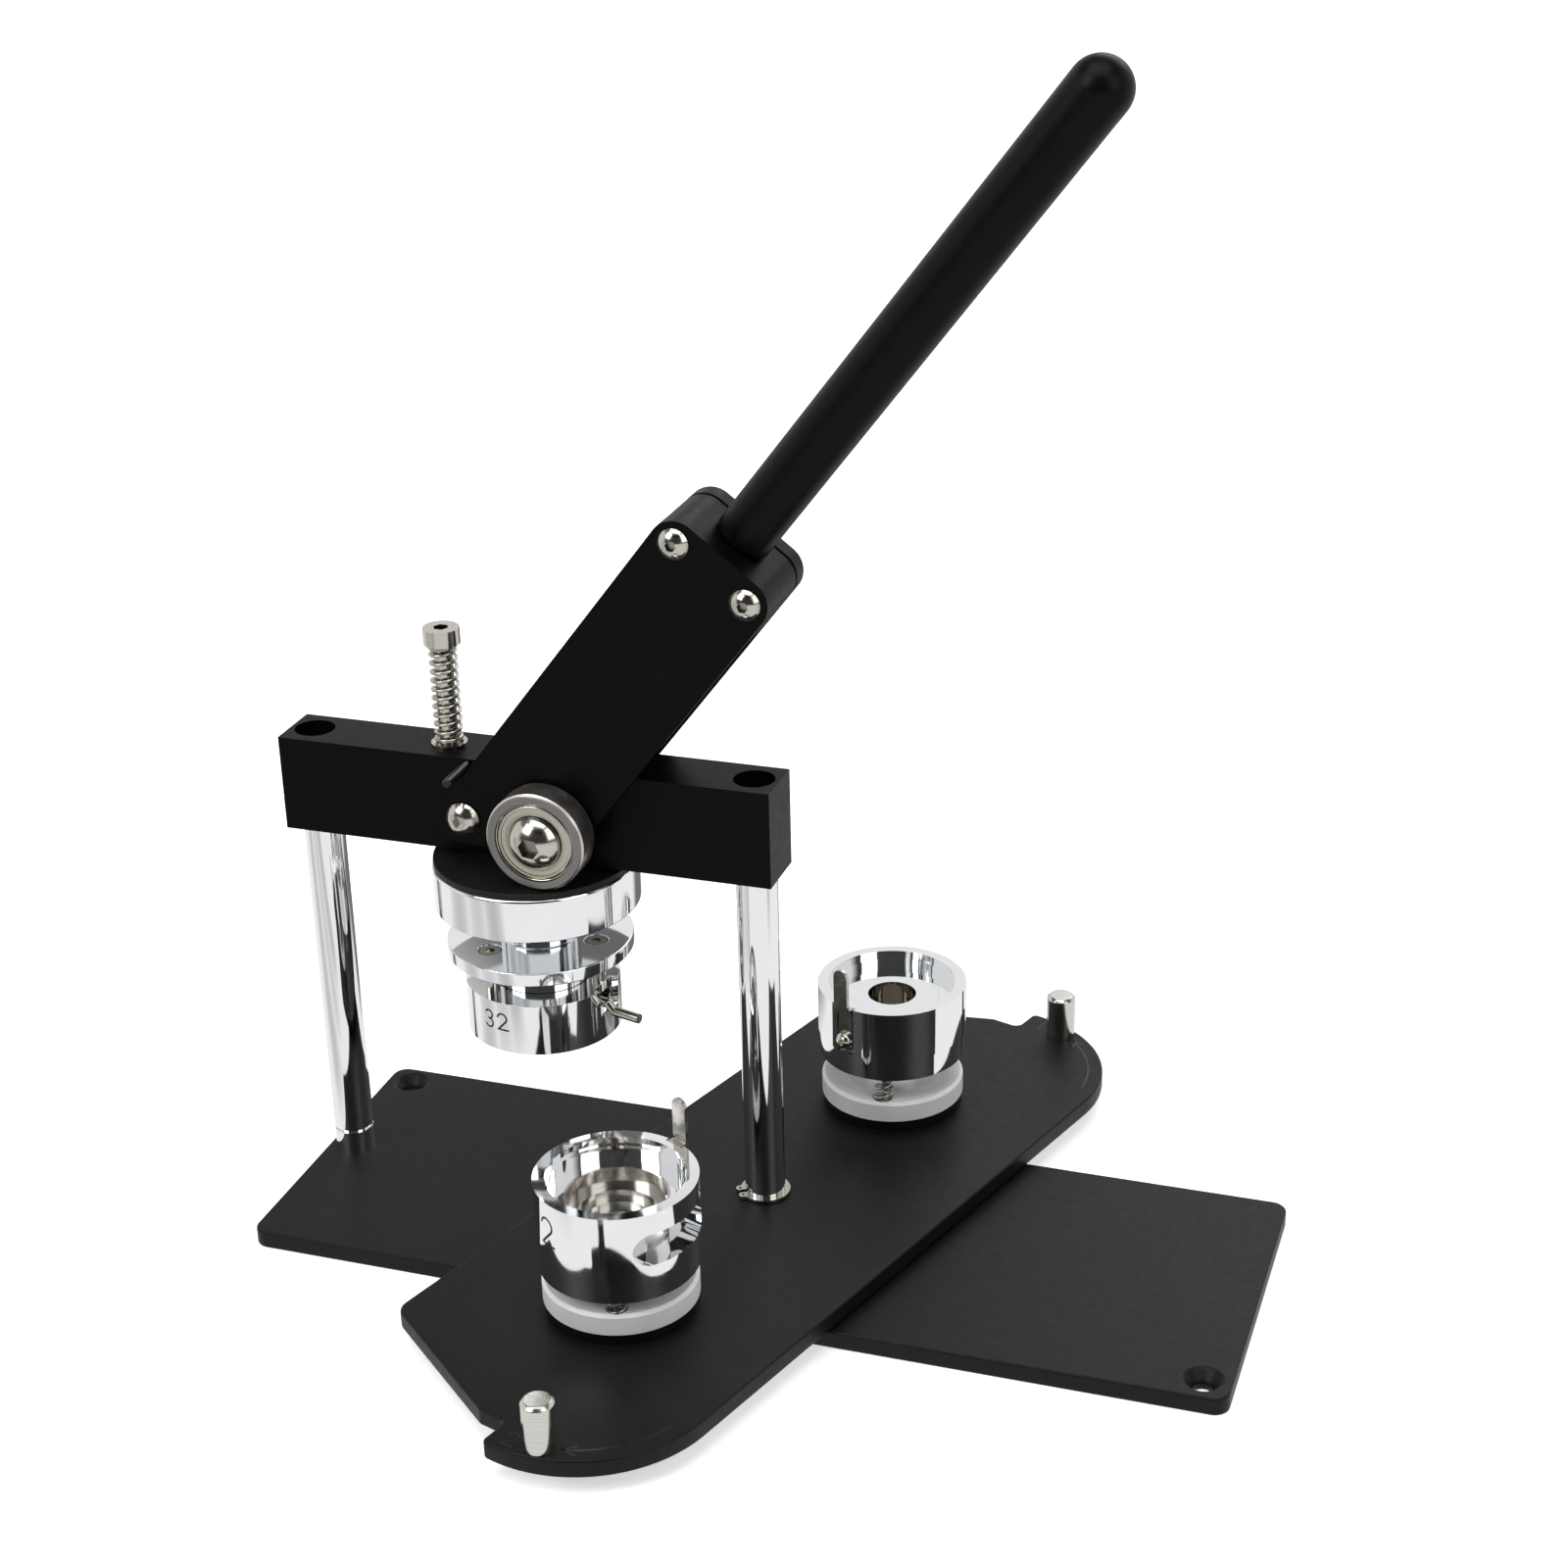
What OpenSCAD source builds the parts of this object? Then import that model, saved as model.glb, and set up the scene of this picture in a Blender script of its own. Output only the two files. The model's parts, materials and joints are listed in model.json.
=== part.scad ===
// Button badge maker: a lever press on two posts, with a swivelling plate that carries two lower dies.
// X runs along the crossbar, Y points to the back and Z up. The origin is the middle of the base plate's underside.

/* [Base plate] */
// Length of the base plate
base_l = 318; // [300:1:400]
// Width of the base plate
base_w = 110.5; // [90:0.5:140]
// Thickness of the base plate
base_t = 6; // [5:0.5:8]
// Corner radius of the base plate
base_r = 5; // [1:0.5:8]
// Distance of the mounting holes from the plate's edges
mount_inset = 9; // [8:0.5:14]
// Diameter of the mounting holes
mount_d = 5.5; // [4.5:0.5:6]
// Diameter of the countersinks of the mounting holes
mount_sink_d = 12; // [9:0.5:13]

/* [Posts and crossbar] */
// Diameter of the two posts
post_d = 13; // [11:0.5:16]
// Distance between the post axes
post_gap = 148; // [140:1:180]
// Distance of the left post's axis from the base plate's left edge
post_inset = 8; // [8:0.5:12]
// Distance of the post row behind the base plate's centre line
post_back = 4.5; // [0:0.5:8]
// Clear height from the base plate's top to the crossbar
throat = 121.5; // [118:0.5:150]
// Front to back depth of the crossbar
bar_w = 20; // [18:0.5:26]
// Height of the crossbar
bar_h = 31.5; // [28:0.5:38]
// Length of crossbar beyond each post axis
bar_over = 8; // [8:0.5:12]

/* [Swivel plate] */
// Thickness of the swivel plate
swivel_t = 6; // [5:0.5:8]
// Gap under the swivel plate, filled by a washer at the pivot
swivel_lift = 0.5; // [0.4:0.1:1]
// Distance from the die line to the swivel plate's edge with the finger pins
swivel_front_w = 57; // [54:0.5:62]
// Distance from the die line to the swivel plate's other long edge
swivel_back_w = 54.5; // [50:0.5:60]
// How far each lobe reaches past its post axis
lobe_reach = 2.7; // [2:0.1:8]
// Corner radius of the two outer lobes
lobe_r = 43; // [36:1:46]
// Diameter of the finger pins
finger_d = 10; // [8:0.5:11]
// Height of the finger pins above the swivel plate
finger_h = 16; // [10:0.5:18]
// Direction of die 1 from the pivot at rest, counted from +X
swivel_rest = 72.5; // [60:0.5:85]

/* [Lower dies] */
// Outer diameter of the sliding die rings
die_d = 50.2; // [48:0.1:56]
// Diameter of the badge shell
badge_d = 32; // [31:0.5:33]
// Diameter of the paper recess in the rings
paper_d = 42.8; // [42:0.1:44]
// Height of the ring rims above the swivel plate
rim_h = 44.8; // [42:0.2:46]
// Height of the ring of die 1
ring_1_h = 25; // [22:0.5:27]
// Height of the ring of die 2
ring_2_h = 29.5; // [26:0.5:30]
// Thickness of the black foot under each die
foot_t = 3.7; // [3:0.1:5]
// Thickness of the white seat under each die
seat_t = 7; // [5:0.5:8]
// Height of the steel tab above the rim
tab_rise = 14.7; // [10:0.1:15]
// Width of the steel tab
tab_w = 5.6; // [5:0.1:7]
// Thickness of the steel tab
tab_t = 1.3; // [1:0.1:1.6]

/* [Upper die and ram] */
// Diameter of the press disc
disc_d = 65.6; // [64:0.2:74]
// Thickness of the chromed press disc
disc_t = 14.4; // [12:0.2:16]
// Thickness of the black pad on the press disc
pad_t = 2; // [1.5:0.5:3]
// Height of the neck under the press disc
neck_h = 12.3; // [11:0.1:14]
// Diameter of the neck under the press disc
neck_d = 25.4; // [20:0.2:28]
// Diameter of the upper die's flange
flange_d = 59.7; // [56:0.1:62]
// Thickness of the upper die's flange
flange_t = 4.5; // [4:0.1:6]
// Distance that the skirt can slide up to the flange
skirt_gap = 9.7; // [9:0.1:11]
// Height of the skirt
skirt_h = 17.2; // [16:0.2:20]
// Diameter of the skirt
skirt_d = 49.6; // [48:0.2:50]
// Length of the guide screws above the crossbar at rest, without the head
guide_rise = 33.8; // [32:0.2:40]
// Distance of each guide screw from the ram axis
guide_off = 27; // [25:0.5:29]
// Distance that the pick-up pin stands out of the skirt
pin_reach = 13.2; // [8:0.2:14]

/* [Lever and bearings] */
// Angle of the raised lever above the horizontal
lever_angle = 52.2; // [45:0.1:60]
// Distance between the pivot and the bearing axle
arm = 28.2; // [27:0.1:30]
// Distance of the pivot from the ram axis, to the left
pivot_back = 15.9; // [15:0.1:17]
// Thickness of the lever plates
plate_t = 6.6; // [5:0.1:8]
// Distance from the pivot to the top end of the lever plates
plate_l = 128; // [110:1:150]
// Length of the handle rod without its round end
rod_l = 168; // [120:1:220]
// Diameter of the handle rod at the lever
rod_d = 17.6; // [16:0.2:20]
// Diameter of the handle rod at its round end
rod_tip_d = 18.4; // [16:0.2:22]
// Outer diameter of the pressing bearings
bearing_d = 32; // [30:0.5:39]
// Width of the pressing bearings
bearing_w = 10; // [8:0.5:12]

/* [Fits] */
// Radial clearance of turning and sliding fits
run_fit = 0.05; // [0.02:0.01:0.08]
// Radial clearance of pieces that are screwed or pressed in place
seat_fit = 0.01; // [0.005:0.005:0.02]
// Gap between faces that pass each other
pass_gap = 0.3; // [0.3:0.05:0.5]

/* [Hidden] */
$fn = 64;
eps = 0.01;

// Colours, as plain names for every finish of the press
black_paint = [0.06, 0.06, 0.065];
chrome = [0.82, 0.83, 0.85];
nickel = [0.72, 0.69, 0.62];
steel = [0.58, 0.58, 0.6];
white_plastic = [0.92, 0.92, 0.9];
black_steel = [0.12, 0.12, 0.13];

// Places in plan
post_y = post_back;
left_x = -base_l / 2 + post_inset;
right_x = left_x + post_gap;
ram_x = right_x - post_gap / 2;
pivot_x = ram_x - pivot_back;
die_off = post_gap / 2;

// Heights above the surface that the press stands on
swivel_z0 = base_t + swivel_lift;
swivel_z1 = swivel_z0 + swivel_t;
foot_z1 = swivel_z1 + foot_t;
seat_z1 = foot_z1 + seat_t;
rim_z = swivel_z1 + rim_h;
bar_z0 = base_t + throat;
bar_z1 = bar_z0 + bar_h;
pad_gap = 1.9;
pad_z1 = bar_z0 - pad_gap;
disc_z1 = pad_z1 - pad_t;
disc_z0 = disc_z1 - disc_t;
flange_z1 = disc_z0 - neck_h;
flange_z0 = flange_z1 - flange_t;
skirt_z1 = flange_z0 - skirt_gap;
skirt_z0 = skirt_z1 - skirt_h;
axle_z = pad_z1 + pass_gap + bearing_d / 2;

// Screws, as [thread, head diameter, head height, hexagon across corners]
m3 = [3, 5.8, 2.2, 2.3];
m4 = [4, 7, 2.8, 3.4];
m5 = [5, 9.5, 2.8, 3.5];
m6_low = [6, 11.5, 5.2, 5];
m6_button = [6, 11, 3.4, 4.6];
m6 = [6, 10, 4, 5.7];
m8 = [8, 12.6, 8, 6.9];
axle_bolt = [8, 16.4, 5, 6.9];
csk_angle_h = 0.5;
socket_share = 0.6;

// ---------- helpers ----------

function unit(v) = v / norm(v);
function cross_z(a, b) = a[0] * b[1] - a[1] * b[0];

// The tangent length, turn direction and rounding centre of corner b, between its neighbours a and c
function corner_turn(a, b, c) = cross_z(b - a, c - b) >= 0 ? 1 : -1;
function corner_half(a, b, c) = acos(unit(a - b) * unit(c - b)) / 2;
function corner_len(a, b, c, r) = r / tan(corner_half(a, b, c));
function corner_mid(a, b, c, r) = b + unit(unit(a - b) + unit(c - b)) * r / sin(corner_half(a, b, c));

// Rounding circles cross their straight edges by this much, so that they meet cleanly
tuck = 0.01;

// The sector of a rounding circle that belongs to corner b
module corner_sector(a, b, c, r) {
    m = corner_mid(a, b, c, r);
    l = corner_len(a, b, c, r);
    intersection() {
        translate(m) circle(r = r + tuck);
        polygon([b + unit(a - b) * l, b, b + unit(c - b) * l, m]);
    }
}

// A flat outline with truly round corners. The points run counter-clockwise, each as [x, y, radius].
module smooth_outline(pts) {
    n = len(pts);
    p = [for (q = pts) [q[0], q[1]]];
    before = function (i) p[(i + n - 1) % n];
    after = function (i) p[(i + 1) % n];
    tangents = [for (i = [0:n - 1]) each [
        p[i] + unit(before(i) - p[i]) * corner_len(before(i), p[i], after(i), pts[i][2]),
        p[i] + unit(after(i) - p[i]) * corner_len(before(i), p[i], after(i), pts[i][2])]];
    difference() {
        union() {
            polygon(tangents);
            for (i = [0:n - 1])
                if (corner_turn(before(i), p[i], after(i)) > 0)
                    corner_sector(before(i), p[i], after(i), pts[i][2]);
        }
        for (i = [0:n - 1])
            if (corner_turn(before(i), p[i], after(i)) < 0)
                corner_sector(before(i), p[i], after(i), pts[i][2]);
    }
}

module tube(r_out, r_in, h) {
    difference() {
        cylinder(r = r_out, h = h);
        translate([0, 0, -1]) cylinder(r = r_in, h = h + 2);
    }
}

// A cylinder with a 45 degree chamfer at its top
module pin_with_chamfer(r, h, chamfer) {
    cylinder(r = r, h = h - chamfer);
    translate([0, 0, h - chamfer]) cylinder(r1 = r, r2 = r - chamfer, h = chamfer);
}

// Screws point down from z = 0, with the head above it
module socket_hole(s) {
    translate([0, 0, s[2] * (1 - socket_share)]) cylinder(d = s[3], h = s[2], $fn = 6);
}

module cap_screw(s, l) {
    difference() {
        cylinder(d = s[1], h = s[2]);
        socket_hole(s);
    }
    translate([0, 0, -l]) cylinder(d = s[0], h = l + eps);
}

module button_screw(s, l) {
    rim = s[2] * 0.15;
    dome = s[2] - rim;
    dome_r = (s[1] * s[1] / 4 + dome * dome) / (2 * dome);
    difference() {
        union() {
            cylinder(d = s[1], h = rim + eps);
            intersection() {
                translate([0, 0, rim]) cylinder(d = s[1], h = s[2]);
                translate([0, 0, s[2] - dome_r]) sphere(r = dome_r);
            }
        }
        socket_hole(s);
    }
    translate([0, 0, -l]) cylinder(d = s[0], h = l + eps);
}

// A countersunk screw with its flat top at z = 0
module sunk_screw(d, head_d, l) {
    head_h = (head_d - d) * csk_angle_h;
    difference() {
        translate([0, 0, -head_h]) cylinder(d1 = d, d2 = head_d, h = head_h);
        translate([0, 0, -head_h * socket_share]) cylinder(d = d * 0.72, h = head_h, $fn = 6);
    }
    translate([0, 0, -l]) cylinder(d = d, h = l - head_h + eps);
}

// Depth of a countersunk head's face below the plate
sunk_below = 0.06;
module sunk_hole(d, head_d, depth) {
    head_h = (head_d - d) * csk_angle_h;
    translate([0, 0, -depth - 1]) cylinder(d = d, h = depth + 2);
    translate([0, 0, -head_h]) cylinder(d1 = d, d2 = head_d + eps, h = head_h + eps);
}

// One ring of points of a coil's wire, and the closed skin over all the rings
function wire_ring(r, wire_r, z, turn, sides) = [for (k = [0:sides - 1])
    let (a = 360 * k / sides, q = r + wire_r * cos(a))
    [q * cos(turn), q * sin(turn), z + wire_r * sin(a)]];

module coil_spring(d, wire, l, turns, steps = 14, sides = 6) {
    wire_r = wire / 2;
    rings = round(turns * steps);
    pitch_l = l - wire - 0.1;
    points = [for (i = [0:rings])
        each wire_ring(d / 2 - wire_r, wire_r, wire_r + 0.05 + pitch_l * i / rings, 360 * i / steps, sides)];
    sides_skin = [for (i = [0:rings - 1], k = [0:sides - 1])
        let (n = (k + 1) % sides)
        [i * sides + k, i * sides + n, (i + 1) * sides + n, (i + 1) * sides + k]];
    start = [for (k = [sides - 1:-1:0]) k];
    end = [for (k = [0:sides - 1]) rings * sides + k];
    polyhedron(points = points, faces = concat([start], sides_skin, [end]), convexity = 10);
}

// ---------- frames: where each group of pieces sits ----------

module at_ram() { translate([ram_x, post_y, 0]) children(); }
module at_swivel() { translate([right_x, post_y, 0]) rotate([0, 0, swivel_rest]) children(); }
module at_die_1() { at_swivel() translate([die_off, 0, 0]) children(); }
module at_die_2() { at_swivel() translate([-die_off, 0, 0]) mirror([1, 0, 0]) children(); }
// Lever pieces are drawn flat: X along the lever, Y to its left, Z towards the front
module at_lever() { translate([pivot_x, post_y, axle_z]) rotate([90, -lever_angle, 0]) children(); }
module front_and_rear() {
    children();
    mirror([0, 0, 1]) children();
}

// ---------- base and posts ----------

foot_screw_d = 6;
foot_screw_head_d = 11;
foot_screw_l = 18;

module base_plate() {
    color(black_paint) difference() {
        linear_extrude(base_t) smooth_outline([
            [-base_l / 2, -base_w / 2, base_r], [base_l / 2, -base_w / 2, base_r],
            [base_l / 2, base_w / 2, base_r], [-base_l / 2, base_w / 2, base_r]]);
        for (s = [-1, 1])
            translate([s * (base_l / 2 - mount_inset), -s * (base_w / 2 - mount_inset), base_t])
                sunk_hole(mount_d, mount_sink_d, base_t);
        for (x = [left_x, right_x])
            translate([x, post_y, 0]) mirror([0, 0, 1])
                sunk_hole(foot_screw_d + 2 * seat_fit, foot_screw_head_d, base_t);
    }
}

clip_t = 1.1;
clip_groove = 0.8;
clip_z = swivel_z1 + pass_gap;
top_screw_sink = 14;
post_top_z = bar_z0 + 6;

// Both posts are the same piece, with a groove for the clip that keeps the swivel plate down
module post() {
    chamfer = 0.8;
    post_l = post_top_z - base_t;
    difference() {
        translate([0, 0, base_t]) {
            pin_with_chamfer(post_d / 2, post_l, chamfer);
        }
        translate([0, 0, clip_z])
            tube(post_d / 2 + 1, post_d / 2 - clip_groove, clip_t);
        translate([0, 0, base_t - 1]) cylinder(d = foot_screw_d + 2 * seat_fit, h = foot_screw_l + 1);
        translate([0, 0, post_top_z - 16]) cylinder(d = m6[0] + 2 * seat_fit, h = 17);
    }
}

module left_post() { color(chrome) translate([left_x, post_y, 0]) post(); }
module right_post() { color(chrome) translate([right_x, post_y, 0]) post(); }

module post_foot_screws() {
    color(black_steel) for (x = [left_x, right_x])
        translate([x, post_y, sunk_below]) mirror([0, 0, 1])
            sunk_screw(foot_screw_d, foot_screw_head_d - 0.2, foot_screw_l);
}

guide_hole_d = m6_low[0] + 1;
bush_l = 12;
bush_d = 8;
bush_flange_d = 11.4;
bush_flange_t = 1;
pivot_pin_d = 8;
stop_d = 3;
stop_l = 15.4;
stop_depth = 6;
heel_r = 8.3;
stop_u = 11.5;
stop_v = heel_r + stop_d / 2 + 0.2;
stop_x = pivot_x + stop_u * cos(lever_angle) - stop_v * sin(lever_angle);
stop_z = axle_z + stop_u * sin(lever_angle) + stop_v * cos(lever_angle);

module crossbar() {
    color(black_paint) difference() {
        translate([left_x - bar_over, post_y - bar_w / 2, bar_z0])
            cube([post_gap + 2 * bar_over, bar_w, bar_h]);
        for (x = [left_x, right_x]) translate([x, post_y, 0]) {
            translate([0, 0, bar_z0 - 1]) cylinder(r = post_d / 2 + seat_fit, h = post_top_z - bar_z0 + 1);
            translate([0, 0, bar_z0]) cylinder(d = m6[0] + 0.6, h = bar_h);
            translate([0, 0, bar_z1 - top_screw_sink]) cylinder(d = post_d, h = top_screw_sink + 1);
        }
        for (s = [-1, 1]) translate([ram_x + s * guide_off, post_y, bar_z0 - 1]) {
            cylinder(d = guide_hole_d, h = bar_h + 2);
            translate([0, 0, 1 + bar_h - bush_l]) cylinder(r = bush_d / 2 + seat_fit, h = bush_l + 1);
        }
        translate([pivot_x, post_y + bar_w, axle_z]) rotate([90, 0, 0])
            cylinder(r = pivot_pin_d / 2 + seat_fit, h = 2 * bar_w);
        translate([stop_x, post_y - bar_w / 2 + stop_depth, stop_z]) rotate([90, 0, 0])
            cylinder(r = stop_d / 2 + seat_fit, h = stop_depth + 1);
    }
}

module post_top_screws() {
    color(black_steel) for (x = [left_x, right_x])
        translate([x, post_y, bar_z1 - top_screw_sink]) cap_screw(m6, bar_h - top_screw_sink - 6 + 12);
}

module swivel_washer() {
    color(nickel) translate([right_x, post_y, base_t + 0.02])
        tube(post_d / 2 + 5, post_d / 2 + 2 * run_fit, swivel_lift - 0.04);
}

// An open retaining ring with two lugs
module swivel_clip_shape() {
    inner = post_d / 2 - clip_groove + seat_fit;
    outer = post_d / 2 + 1.6;
    difference() {
        union() {
            cylinder(r = outer, h = clip_t - 0.1);
            for (s = [-1, 1]) translate([s * 2.1, -outer + 0.2, 0]) cylinder(r = 1.4, h = clip_t - 0.1);
        }
        translate([0, 0, -1]) cylinder(r = inner, h = clip_t + 2);
        translate([-0.8, -outer - 4, -1]) cube([1.6, outer, clip_t + 2]);
        for (s = [-1, 1]) translate([s * 2.1, -outer + 0.2, -1]) cylinder(r = 0.5, h = clip_t + 2);
    }
}

module swivel_circlip() {
    clip_turn = -58;
    color(nickel) translate([right_x, post_y, clip_z + 0.05]) rotate([0, 0, clip_turn]) swivel_clip_shape();
}

// ---------- swivel plate ----------

end_s = post_gap - post_d / 2 - 1.8;
stop_play = 3.8;
stop_t = -(post_d / 2 + stop_play);
lobe_s = post_gap + lobe_reach;
shoulder_s = 116 / 148 * post_gap;
finger_s = post_gap - 5;
finger_t = -26;
die_screw_head_d = 11;
die_screw_l = 20;

module swivel_plate() {
    half = [[lobe_s, -swivel_front_w, lobe_r], [lobe_s, stop_t, 2], [end_s, stop_t, 2.5], [end_s, 0, 4],
        [shoulder_s, swivel_back_w, 6]];
    outline = concat(half, [for (i = [len(half) - 1:-1:0]) [-half[i][0], half[i][1], half[i][2]]]);
    color(black_paint) at_swivel() difference() {
        translate([0, 0, swivel_z0]) linear_extrude(swivel_t) smooth_outline(outline);
        translate([0, 0, swivel_z0 - 1]) cylinder(r = post_d / 2 + run_fit, h = swivel_t + 2);
        for (s = [-1, 1]) {
            translate([s * finger_s, finger_t, swivel_z0 - 1]) cylinder(d = finger_root_d + 2 * seat_fit, h = swivel_t + 2);
            translate([s * die_off, 0, swivel_z0]) mirror([0, 0, 1])
                sunk_hole(m6[0] + 2 * seat_fit, die_screw_head_d, swivel_t);
        }
    }
}

finger_root_d = 6;

module finger_pin(s) {
    color(nickel) at_swivel() translate([s * finger_s, finger_t, swivel_z1]) {
        pin_with_chamfer(finger_d / 2, finger_h, 1);
        translate([0, 0, -swivel_t + 0.3]) cylinder(d = finger_root_d, h = swivel_t);
    }
}
module finger_pin_1() { finger_pin(1); }
module finger_pin_2() { finger_pin(-1); }

module die_mount_screws() {
    color(black_steel) at_swivel() for (s = [-1, 1])
        translate([s * die_off, 0, swivel_z0 + sunk_below]) mirror([0, 0, 1])
            sunk_screw(m6[0], die_screw_head_d - 0.2, die_screw_l);
}

// ---------- lower dies ----------

foot_r = die_d / 2 - 1.4;
seat_r = die_d / 2 - 1;
core_r = badge_d / 2;
bore_r = core_r + run_fit;
core_1_z1 = rim_z - 5;
core_2_z1 = rim_z - 7;
spring_orbit = 19.7;
spring_d = 6.2;
spring_wire = 0.9;
spring_pocket_d = spring_d + 0.8;
seat_pocket = 3;
ring_pocket = 9;
spring_turns_1 = 7;
spring_turns_2 = 6.5;
spring_first = -155.6;
ring_lip_h = 8;
ring_lip = 0.4;
tab_flat = die_d / 2 - 1.6;
tab_turn_1 = 175;
tab_turn_2 = 189;
tab_leg = 16;
tab_screw_drop = 12.3;
keeper_turn_1 = 24.4;
keeper_turn_2 = 144.4;
keeper_d = 2;
keeper_z_1 = rim_z - 19;
keeper_z_2 = rim_z - 15.5;
keeper_travel = 9;

module each_spring_place(first) {
    for (k = [0:2]) rotate([0, 0, first + 120 * k]) translate([spring_orbit, 0, 0]) children();
}

module die_foot() {
    color(black_paint) translate([0, 0, swivel_z1]) tube(foot_r, m6[0] / 2 + 0.3, foot_t);
}
module die_1_foot() { at_die_1() die_foot(); }
module die_2_foot() { at_die_2() die_foot(); }

module die_seat() {
    edge = 1;
    color(white_plastic) difference() {
        translate([0, 0, foot_z1]) {
            cylinder(r = seat_r, h = seat_t - edge);
            translate([0, 0, seat_t - edge]) cylinder(r1 = seat_r, r2 = seat_r - edge, h = edge);
        }
        translate([0, 0, foot_z1 - 1]) cylinder(d = m6[0] + 0.6, h = seat_t + 2);
        translate([0, 0, seat_z1 - 2]) cylinder(r = core_r + seat_fit, h = 3);
        each_spring_place(spring_first)
            translate([0, 0, seat_z1 - seat_pocket]) cylinder(d = spring_pocket_d, h = seat_pocket + 1);
    }
}
module die_1_seat() { at_die_1() die_seat(); }
module die_2_seat() { at_die_2() die_seat(); }

// The fixed middle of a die: a post that the ring slides on
module core_blank(top_z, keeper_z, keeper_turn) {
    difference() {
        translate([0, 0, seat_z1 - 2]) cylinder(r = core_r, h = top_z - seat_z1 + 2);
        translate([0, 0, seat_z1 - 3]) cylinder(r = m6[0] / 2 + seat_fit, h = 12);
        translate([0, 0, keeper_z]) rotate([0, 90, keeper_turn])
            translate([0, 0, core_r - 3]) cylinder(r = keeper_d / 2 + seat_fit, h = 4);
    }
}

module die_1_core() {
    color(chrome) at_die_1() difference() {
        core_blank(core_1_z1, keeper_z_1, keeper_turn_1);
        translate([0, 0, core_1_z1 - 9]) cylinder(d = 16.2, h = 10);
    }
}

// The second die has an oval window in its side, through the ring and into the core
window_turn = -90;
window_z = rim_z - 12.3;
window_d = 10.8;
window_half = 11;

module window_cut(from_r, d, half) {
    rotate([0, 0, window_turn]) translate([from_r, 0, window_z]) rotate([0, 90, 0]) {
        for (s = [-1, 1]) translate([0, s * half, 0]) cylinder(d = d, h = die_d / 2);
        translate([-d / 2, -half, 0]) cube([d, 2 * half, die_d / 2]);
    }
}

module die_2_core() {
    steps = [[core_r - 0.7, 6.5], [core_r - 3.4, 9.5], [core_r - 5.2, 11], [core_r - 8.5, 14]];
    color(nickel) at_die_2() difference() {
        core_blank(core_2_z1, keeper_z_2, keeper_turn_2);
        for (s = steps) translate([0, 0, core_2_z1 - s[1]]) cylinder(r = s[0], h = s[1] + 1);
        window_cut(core_r - 8, window_d - 2.4, window_half - 2);
    }
}

module die_keeper(keeper_z, keeper_turn) {
    color(nickel) rotate([0, 0, keeper_turn]) translate([core_r - 3, 0, keeper_z]) rotate([0, 90, 0])
        cylinder(d = keeper_d, h = die_d / 2 - core_r + 2);
}
module die_1_keeper() { at_die_1() die_keeper(keeper_z_1, keeper_turn_1); }
module die_2_keeper() { at_die_2() die_keeper(keeper_z_2, keeper_turn_2); }

module die_springs(ring_h, turns) {
    z0 = seat_z1 - seat_pocket;
    z1 = rim_z - ring_h + ring_pocket;
    color(steel) each_spring_place(spring_first)
        translate([0, 0, z0]) coil_spring(spring_d, spring_wire, z1 - z0, turns);
}
module die_1_springs() { at_die_1() die_springs(ring_1_h, spring_turns_1); }
module die_2_springs() { at_die_2() die_springs(ring_2_h, spring_turns_2); }

// The sliding ring: a stepped paper recess, spring pockets, a flat for the tab and a keeper slot
module ring_blank(h, tab_turn, keeper_z, keeper_turn, floor_z) {
    z0 = rim_z - h;
    ledge_r = paper_d / 2 - 0.8;
    difference() {
        union() {
            translate([0, 0, z0]) cylinder(r = die_d / 2 - ring_lip, h = ring_lip_h + eps);
            translate([0, 0, z0 + ring_lip_h]) cylinder(r = die_d / 2, h = h - ring_lip_h);
        }
        translate([0, 0, z0 - 1]) cylinder(r = bore_r, h = h + 2);
        translate([0, 0, floor_z]) cylinder(r = ledge_r, h = h);
        translate([0, 0, rim_z - 2.6]) cylinder(r = paper_d / 2, h = 4);
        each_spring_place(spring_first)
            translate([0, 0, z0 - 1]) cylinder(d = spring_pocket_d, h = ring_pocket + 1);
        rotate([0, 0, tab_turn]) {
            translate([tab_flat, -tab_w / 2 - 0.6, rim_z - tab_leg - 1]) cube([6, tab_w + 1.2, tab_leg + 2]);
            translate([bore_r + 0.8, 0, rim_z - tab_screw_drop]) rotate([0, 90, 0])
                cylinder(r = m3[0] / 2 + seat_fit, h = 12);
        }
        rotate([0, 0, keeper_turn]) keeper_slot(keeper_z);
    }
}

module keeper_slot(keeper_z) {
    slot_r = keeper_d / 2 + 0.25;
    for (z = [0, keeper_travel]) translate([core_r - 1, 0, keeper_z + z]) rotate([0, 90, 0])
        cylinder(r = slot_r, h = die_d / 2);
    translate([core_r - 1, -slot_r, keeper_z]) cube([die_d / 2, 2 * slot_r, keeper_travel]);
}

module die_1_ring() {
    color(chrome) at_die_1() ring_blank(ring_1_h, tab_turn_1, keeper_z_1, keeper_turn_1, core_1_z1);
}

module die_2_ring() {
    color(chrome) at_die_2() difference() {
        ring_blank(ring_2_h, tab_turn_2, keeper_z_2, keeper_turn_2, core_2_z1);
        window_cut(core_r - 1, window_d, window_half);
    }
}

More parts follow.
